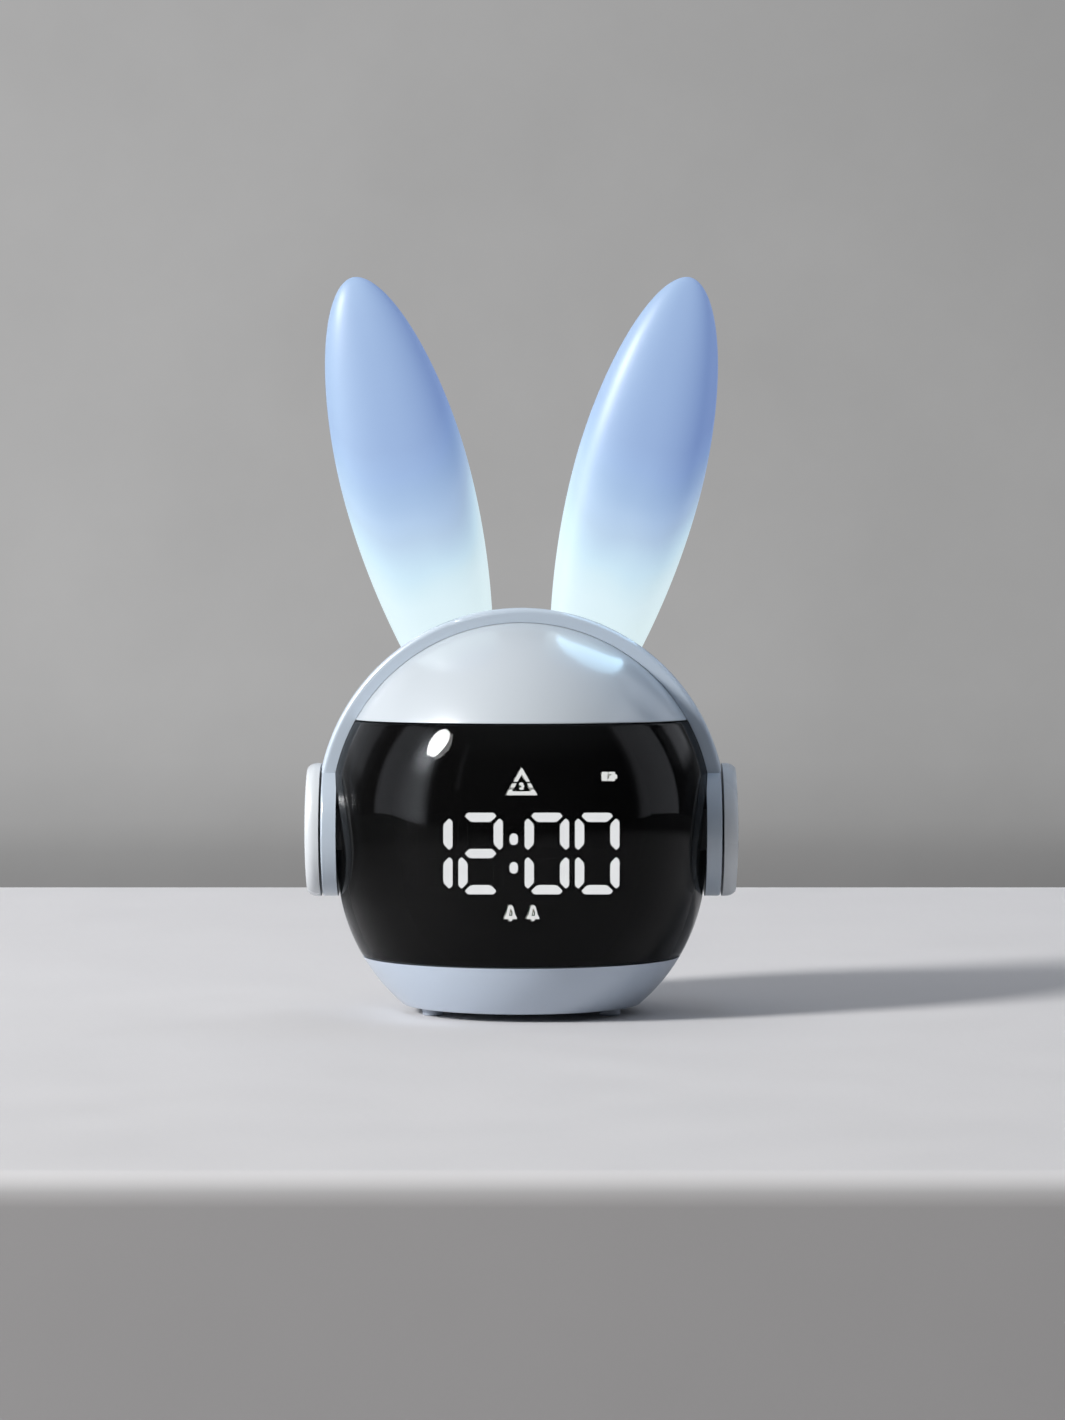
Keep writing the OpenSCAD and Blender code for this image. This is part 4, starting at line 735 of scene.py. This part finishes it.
SLAB_FRONT, SLAB_BACK, SLAB_LOW, SLAB_HALF = -0.2845, 0.46, -0.6, 2.5
FRONT_ROUND, BACK_ROUND, ROUND_STEPS = 0.006, 0.02, 8
# the face's tone is the top's plaster painted darker: painted shade on the upright face
TOP_TONE, FACE_SHADED_TONE = (0.64, 0.63, 0.635), (0.397, 0.387, 0.390)
# painted light: the tone changes from the first factor to the second between two places along Y,
# paler towards the back
FRONT_SHADE, BACK_SHADE, SHADE_FROM, SHADE_TO = 0.948, 1.265, -0.25, 0.46
# painted shade: the rounded front edge darkens into the darker tone of the face
EDGE_SHADE, EDGE_LOW, EDGE_HIGH = 0.62, -0.0034, 0.0003
# painted shade in mirror images: for glossy rays the slab darkens away from the clock, so only the
# part close by shows bright
MIRROR_MIDDLE, MIRROR_NEAR, MIRROR_FAR, MIRROR_PAINTED_SHADE = (0.08, 0, 0), 0.19, 0.32, 0.95


def slab_profile():
    """The slab's outline as y and z, from the front foot over the top to the back foot."""
    angles = [math.pi / 2 * k / ROUND_STEPS for k in range(ROUND_STEPS + 1)]
    profile = [(SLAB_FRONT, SLAB_LOW)]
    for a in angles:
        y = SLAB_FRONT + FRONT_ROUND - FRONT_ROUND * math.cos(a)
        profile.append((y, -FRONT_ROUND + FRONT_ROUND * math.sin(a)))
    for a in angles:
        y = SLAB_BACK - BACK_ROUND + BACK_ROUND * math.sin(a)
        profile.append((y, -BACK_ROUND + BACK_ROUND * math.cos(a)))
    return profile + [(SLAB_BACK, SLAB_LOW)]


def slab_paint(name, colour, rounded):
    """Plaster with painted light and shade: paler towards the back, darker over the front edge, and
    darker far off in mirror images.
    """
    p = Paint(name)
    stops = [(0.25, shade(colour, 0.985)), (0.75, shade(colour, 1.015))]
    plaster = p.ramp(p.noise(60, detail=4), stops)
    # painted shade in mirror images: glossy rays see the slab darker away from the clock
    inputs = {0: p.where((1, 1, 0)), 1: MIRROR_MIDDLE}
    far = p.node("VectorMath", inputs, operation="DISTANCE").outputs["Value"]
    ray = p.node("LightPath").outputs["Is Glossy Ray"]
    dim = p.times(ray, p.spread(far, 0.0, MIRROR_PAINTED_SHADE, MIRROR_NEAR, MIRROR_FAR))
    _, y, z = p.split(p.where())
    # painted light: the plaster is paler towards the back
    tone = p.spread(y, FRONT_SHADE, BACK_SHADE, SHADE_FROM, SHADE_TO)
    # painted shade over the rounded front edge, down into the face's tone
    if rounded:
        tone = p.times(tone, p.spread(z, EDGE_SHADE, 1.0, EDGE_LOW, EDGE_HIGH))
    inputs = {0: plaster, "Scale": p.times(tone, p.inverse(dim))}
    p.feed("Base Color", p.node("VectorMath", inputs, operation="SCALE").outputs["Vector"])
    p.rough(size=30, low=0.55, high=0.7)
    p.bump(p.noise(1.5, detail=4), depth=0.03, strength=0.2)
    return p.set(Specular_IOR_Level=0.25).material


def stage_slab():
    """A thick pale slab whose front and back edges are softly rounded."""
    profile = slab_profile()
    n = len(profile)
    points = [(x, y, z) for x in (-SLAB_HALF, SLAB_HALF) for y, z in profile]
    faces = [(i, i + 1, n + i + 1, n + i) for i in range(n - 1)]
    faces.append(tuple(reversed(range(n))))
    faces.append(tuple(range(n, 2 * n)))
    mesh = smooth_mesh("slab", points, faces, angle=30)
    mesh.materials.append(slab_paint("slab_top", TOP_TONE, rounded=True))
    # the upright faces take the darker copy, painted shade
    mesh.materials.append(slab_paint("slab_face_painted_shade", FACE_SHADED_TONE, rounded=False))
    for face in mesh.polygons:
        upright = abs(face.normal.z) < 0.3
        face.material_index = 1 if upright else 0
    slab = bpy.data.objects.new("slab", mesh)
    bpy.context.scene.collection.objects.link(slab)


stage_slab()


# ---------------------------------------------------------------- room

CEILING, SIDE_WALL, BACK_WALL, BASE_LEVEL = 0.57, 0.18, 0.27, 0.05
RIGHT_FILL, LEFT_FILL = 0.3, 0.2
ROOM_TINT, PLASTER_TINT = (0.93, 0.97, 1.045, 1), (1.0, 0.995, 0.995, 1)
# windows as mirrors show them: azimuths, elevations, level, how soft the two sides are, and how
# soft the foot and the top are; in degrees, with azimuth 0 straight in front of the clock
PANES = (
    ((-98, -60), (-10, 42), 1.9, (5, 8), 6),
    ((-75, -60), (-5, 42), 3.6, (24, 8), 12),
    ((-73, -62), (23, 36), 17.0, (12, 9), 14),
    ((-150, -116), (9, 34), 0.75, (6, 6), 6),
    ((-150, -120), (-3, 8), 0.35, (6, 6), 6),
    ((-41, -38), (14, 40), 0.5, (2, 2), 2),
    ((76, 108.5), (-7, 46), 1.4, (5, 3), 5),
    ((121, 140), (12, 42), 1.0, (6, 6), 6),
)
# painted light on the plaster: paler on the left, where the key falls, than on the right
PLASTER_LEFT, PLASTER_RIGHT, CORNER_PAINTED_SHADE = 0.425, 0.332, 0.06
# painted shade: the plaster's tone from the slab upwards, darkest at the slab
PAINTED_WALL_SHADE = ((0.0, 0.60), (0.1, 0.63), (0.2, 0.68), (0.36, 0.82), (0.66, 0.95), (1.0, 1.0))

world = bpy.data.worlds.new("room")
bpy.context.scene.world = world
world.use_nodes = True
sky = Tree(world.node_tree)
direction = sky.node("TexCoord").outputs["Generated"]
dx, dy, dz = sky.split(direction)
rays = sky.node("LightPath").outputs
glossy = rays["Is Glossy Ray"]


def room_level():
    """A pale ceiling, a grey wall behind, soft sides and a dim room in front."""
    direct = sky.inverse(glossy)
    ceiling = sky.spread(dz, 0.0, CEILING, start=0.45, end=1.0, soft=True)
    # in mirror images the wall starts further round to the back
    side = sky.times(direct, sky.spread(dy, 0.0, SIDE_WALL, start=0.0, end=0.4, soft=True))
    back = sky.times(glossy, sky.spread(dy, 0.0, BACK_WALL, start=0.55, end=0.95, soft=True))
    above_floor = sky.spread(dz, 0.3, 1.0, start=-0.1, end=0.0)
    wall = sky.times(sky.add(side, back), above_floor)
    right = sky.spread(dx, 0.0, RIGHT_FILL, start=0.75, end=1.0, soft=True)
    left = sky.spread(dx, LEFT_FILL, 0.0, start=-1.0, end=-0.75, soft=True)
    fill = sky.times(direct, sky.add(right, left))
    return sky.add(sky.add(sky.add(ceiling, wall), fill), BASE_LEVEL)


def between(angle, reach, soft_low, soft_high):
    """1 for angles within reach, in degrees, with soft edges."""
    low, high = map(math.radians, reach)
    soft_low, soft_high = math.radians(soft_low) / 2, math.radians(soft_high) / 2
    rise = sky.spread(angle, 0.0, 1.0, low - soft_low, low + soft_low, soft=True)
    fall = sky.spread(angle, 1.0, 0.0, high - soft_high, high + soft_high, soft=True)
    return sky.times(rise, fall)


def pane_level():
    """All the windows together."""
    azimuth = sky.calc("ARCTAN2", dx, sky.times(dy, -1.0))
    elevation = sky.calc("ARCSINE", dz)
    total = 0.0
    for azimuths, elevations, level, soft_sides, soft_ends in PANES:
        area = sky.times(between(azimuth, azimuths, *soft_sides),
                         between(elevation, elevations, soft_ends, soft_ends))
        total = sky.add(total, sky.times(area, level))
    return total


def backdrop_level():
    """Plaster behind the slab with painted light and shade: paler on the left, darker towards the
    slab, towards the right and at the upper right.
    """
    # painted light and shade: paler on the left, darker towards the slab and at the upper right
    across = sky.spread(dx, PLASTER_LEFT, PLASTER_RIGHT, start=-0.14, end=0.14)
    rise = sky.spread(dz, 0, 1, start=-0.07, end=-0.02)
    fade = sky.ramp(rise, [(place, (tone, tone, tone)) for place, tone in PAINTED_WALL_SHADE])
    inputs = {"Vector": direction, "Scale": 14.0, "Detail": 8.0, "Roughness": 0.62}
    plaster = sky.node("TexNoise", inputs).outputs["Fac"]
    grey = sky.times(sky.times(across, fade), sky.spread(plaster, 0.96, 1.04))
    high = sky.spread(dz, 0.0, CORNER_PAINTED_SHADE, start=0.02, end=0.2)
    right = sky.spread(dx, 0.0, 1.0, start=-0.16, end=0.04)
    return sky.times(grey, sky.inverse(sky.times(high, right)))


def background(tint, level):
    return sky.node("Background", {"Color": tint, "Strength": level}).outputs["Background"]


lighting = background(ROOM_TINT, sky.add(room_level(), sky.times(pane_level(), glossy)))
backdrop = background(PLASTER_TINT, backdrop_level())
choose = sky.node("MixShader", {0: rays["Is Camera Ray"], 1: lighting, 2: backdrop})
sky.node("OutputWorld", {"Surface": choose.outputs["Shader"]})


# ---------------------------------------------------------------- lamps, in metres

CLOCK_MIDDLE = (0, 0, 0.05)


def toward(azimuth, elevation):
    """A direction from the clock; azimuth 0 is straight in front, and 90 is towards +X."""
    a, e = math.radians(azimuth), math.radians(elevation)
    return Vector((math.sin(a) * math.cos(e), -math.cos(a) * math.cos(e), math.sin(e)))


def lamp(name, direction, distance, width, level, mirrored, height=None, aim=CLOCK_MIDDLE,
         tint=(1, 1, 1)):
    """A round or oval area light that gives a surface facing it the given level.

    A mirrored lamp shows only in glossy surfaces, and any other only in matt ones.
    """
    light = bpy.data.lights.new(name, "AREA")
    light.shape = "ELLIPSE" if height else "DISK"
    light.size, light.size_y = width, height or width
    light.energy = level * math.pi ** 2 * distance ** 2
    light.color = tint
    obj = bpy.data.objects.new(name, light)
    bpy.context.scene.collection.objects.link(obj)
    obj.location = Vector(aim) + direction.normalized() * distance
    obj.rotation_euler = (Vector(aim) - obj.location).to_track_quat("-Z", "Y").to_euler()
    obj.visible_camera = False
    obj.visible_diffuse = not mirrored
    obj.visible_glossy = obj.visible_transmission = mirrored
    return obj


lamp("key", toward(-56, 27), distance=3.0, width=0.635, level=1.34, mirrored=False,
     tint=(1.0, 0.992, 0.978))
# bluish light that falls from the right ear onto the head
spill = lamp("ear_spill", toward(92, 63), distance=0.06, width=0.03, level=0.066, mirrored=False,
             aim=(0.032, -0.021, 0.077), tint=(0.42, 0.66, 1.0))
spill.data.spread = math.radians(90)
# the right ear's lit root as the forehead mirrors it
lamp("ear_image", toward(155, 43), distance=0.0145, width=0.023, level=2.4, mirrored=True,
     height=0.02, aim=(0.0169, -0.0182, 0.089), tint=(0.48, 0.77, 1.0))
# the key lamp's image in glossy surfaces
glint = lamp("glint", toward(-62, 36.8), distance=1.5, width=0.41, level=1.9, mirrored=True,
             height=0.29)
glint.rotation_euler.rotate_axis("Z", math.radians(84))


# ---------------------------------------------------------------- camera, in metres

EYE, EYE_DIP = (0.0027, -0.981, 0.0983), 1.418
LENS_LENGTH, SENSOR_WIDTH = 101.41, 36

camera = bpy.data.cameras.new("camera")
camera.sensor_fit = "AUTO"
camera.sensor_width = SENSOR_WIDTH
camera.lens = LENS_LENGTH
eye = bpy.data.objects.new("camera", camera)
bpy.context.scene.collection.objects.link(eye)
eye.location = EYE
eye.rotation_euler = (math.radians(90 - EYE_DIP), 0, 0)
bpy.context.scene.camera = eye
bpy.context.scene.view_settings.view_transform = "Standard"
